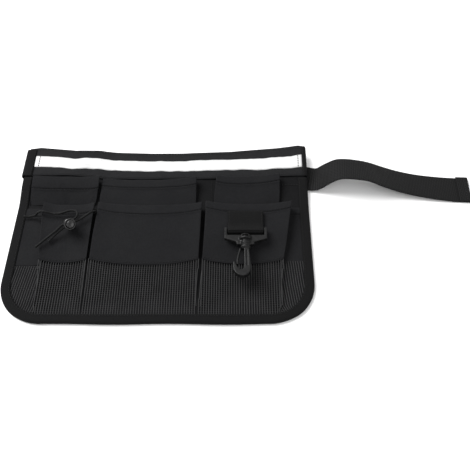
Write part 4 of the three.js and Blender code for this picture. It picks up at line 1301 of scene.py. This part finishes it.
class POUCH_OT_sew_waistband(Operator):
    """Makes the waistband, its reflective strip and its bound ends"""

    bl_idname = "pouch.sew_waistband"
    bl_label = "Sew Waistband"

    def execute(self, context):
        lines = list(zip(*(band_line(across) for across in spread(0, 1, BAND_STEPS))))
        sew_sheet("waist_band", "waistband", lines, sizes().cloth, "band_cloth")
        places = spread(STRIP["left"], STRIP["right"], BAND_STEPS)
        lines = [[strip_point(x, share) for x in places] for share in spread(0, 1, 8)]
        sew_sheet(
            "bright_strip", "reflective_strip", lines, STRIP_THICK, "bead_strip"
        )
        for end in BAND_ENDS:
            sew_sheet(
                "band_roll_" + end, "band_end_" + end, band_end_lines(end), sizes().tape, "edge_tape",
                rounding=1,
            )
        return {"FINISHED"}


class POUCH_OT_sew_pockets(Operator):
    """Sews the cloth of the upper and front pockets"""

    bl_idname = "pouch.sew_pockets"
    bl_label = "Sew Pockets"

    def execute(self, context):
        jobs = [(name, POCKETS[name][-1][Y], 0, name) for name in UPPER_POCKETS]
        jobs += [(name, SEAM_Y, flange, name + "_cloth") for name, flange in FLANGES.items()]
        for name, end, flange, node in jobs:
            sew_sheet(
                name + "_front", node, pocket_lines(name, end, flange), sizes().cloth, "woven_cloth",
                softness=0.35, rounding=1,
            )
        return {"FINISHED"}


class POUCH_OT_knit_nets(Operator):
    """Knits the nets of the front pockets"""

    bl_idname = "pouch.knit_nets"
    bl_label = "Knit Nets"

    def execute(self, context):
        for name in FLANGES:
            knit_net(name)
        return {"FINISHED"}


class POUCH_OT_run_webbing(Operator):
    """Runs the belt round its buckle and the tab round the hook's bar"""

    bl_idname = "pouch.run_webbing"
    bl_label = "Run Webbing"

    def execute(self, context):
        mould("slide_buckle", "belt_buckle", "pouch", 0.0004)
        tab_width = TAB["right"] - TAB["left"]
        for name, stops, width, thick, finish, node, under in (
            ("belt_strap", belt_stops(), BELT_WIDTH, BELT_THICK, "belt_webbing", "belt", "floor"),
            ("tab_strap", tab_stops(), tab_width, TAB["thick"], "tab_webbing", "hook_tab", "right_pocket_front"),
        ):
            shape = lay_rings(strap_rings(stops, width, thick))
            strap = add_piece(name, to_mesh(name, shape), finish)
            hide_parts(node)
        return {"FINISHED"}


class POUCH_OT_mould_hook(Operator):
    """Moulds the hook's loop, the swivel hook and its gate"""

    bl_idname = "pouch.mould_hook"
    bl_label = "Mould Hook"

    def execute(self, context):
        groove_boss(mould("swivel_loop", "hook_loop", "loop", 0.00032))
        mould("swivel_hook", "snap_hook", "hook", 0.00032)
        mould("spring_gate", "hook_gate", "gate", 0.00022)
        return {"FINISHED"}


class POUCH_OT_stitch(Operator):
    """Sews every visible line of stitches"""

    bl_idname = "pouch.stitch"
    bl_label = "Stitch"

    def execute(self, context):
        shape = bmesh.new()
        for line in stitch_lines():
            stitch_along(shape, line, 1.0)
        for line in seam_lines():
            stitch_along(shape, line, STOUT_THREAD)
        add_piece("stitching", to_mesh("stitching", shape), "sewing_thread")
        return {"FINISHED"}


STEPS = (
    POUCH_OT_set_stage,
    POUCH_OT_lay_cords,
    POUCH_OT_sew_panel,
    POUCH_OT_sew_waistband,
    POUCH_OT_sew_pockets,
    POUCH_OT_knit_nets,
    POUCH_OT_run_webbing,
    POUCH_OT_mould_hook,
    POUCH_OT_stitch,
)


class POUCH_PT_panel(Panel):
    """The pouch's sizes, colours and steps"""

    bl_idname = "POUCH_PT_panel"
    bl_label = "Tool Pouch"
    bl_space_type = "VIEW_3D"
    bl_region_type = "UI"
    bl_category = "Tool Pouch"

    def draw(self, context):
        layout = self.layout
        for group in (context.scene.pouch_sizes, context.scene.pouch_colours, context.scene.pouch_stage):
            box = layout.box()
            for name in group.__annotations__:
                box.prop(group, name)
        for step in STEPS:
            layout.operator(step.bl_idname)


CLASSES = (PouchSizes, PouchColours, PouchStage, *STEPS, POUCH_PT_panel)


def register():
    for item in CLASSES:
        bpy.utils.register_class(item)
    bpy.types.Scene.pouch_sizes = PointerProperty(type=PouchSizes)
    bpy.types.Scene.pouch_colours = PointerProperty(type=PouchColours)
    bpy.types.Scene.pouch_stage = PointerProperty(type=PouchStage)


def unregister():
    del bpy.types.Scene.pouch_stage
    del bpy.types.Scene.pouch_colours
    del bpy.types.Scene.pouch_sizes
    for item in reversed(CLASSES):
        bpy.utils.unregister_class(item)


def main():
    register()
    bpy.ops.pouch.set_stage()
    bpy.ops.pouch.lay_cords()
    bpy.ops.pouch.sew_panel()
    bpy.ops.pouch.sew_waistband()
    bpy.ops.pouch.sew_pockets()
    bpy.ops.pouch.knit_nets()
    bpy.ops.pouch.run_webbing()
    bpy.ops.pouch.mould_hook()
    bpy.ops.pouch.stitch()
    bpy.context.view_layer.update()


if __name__ == "__main__":
    main()
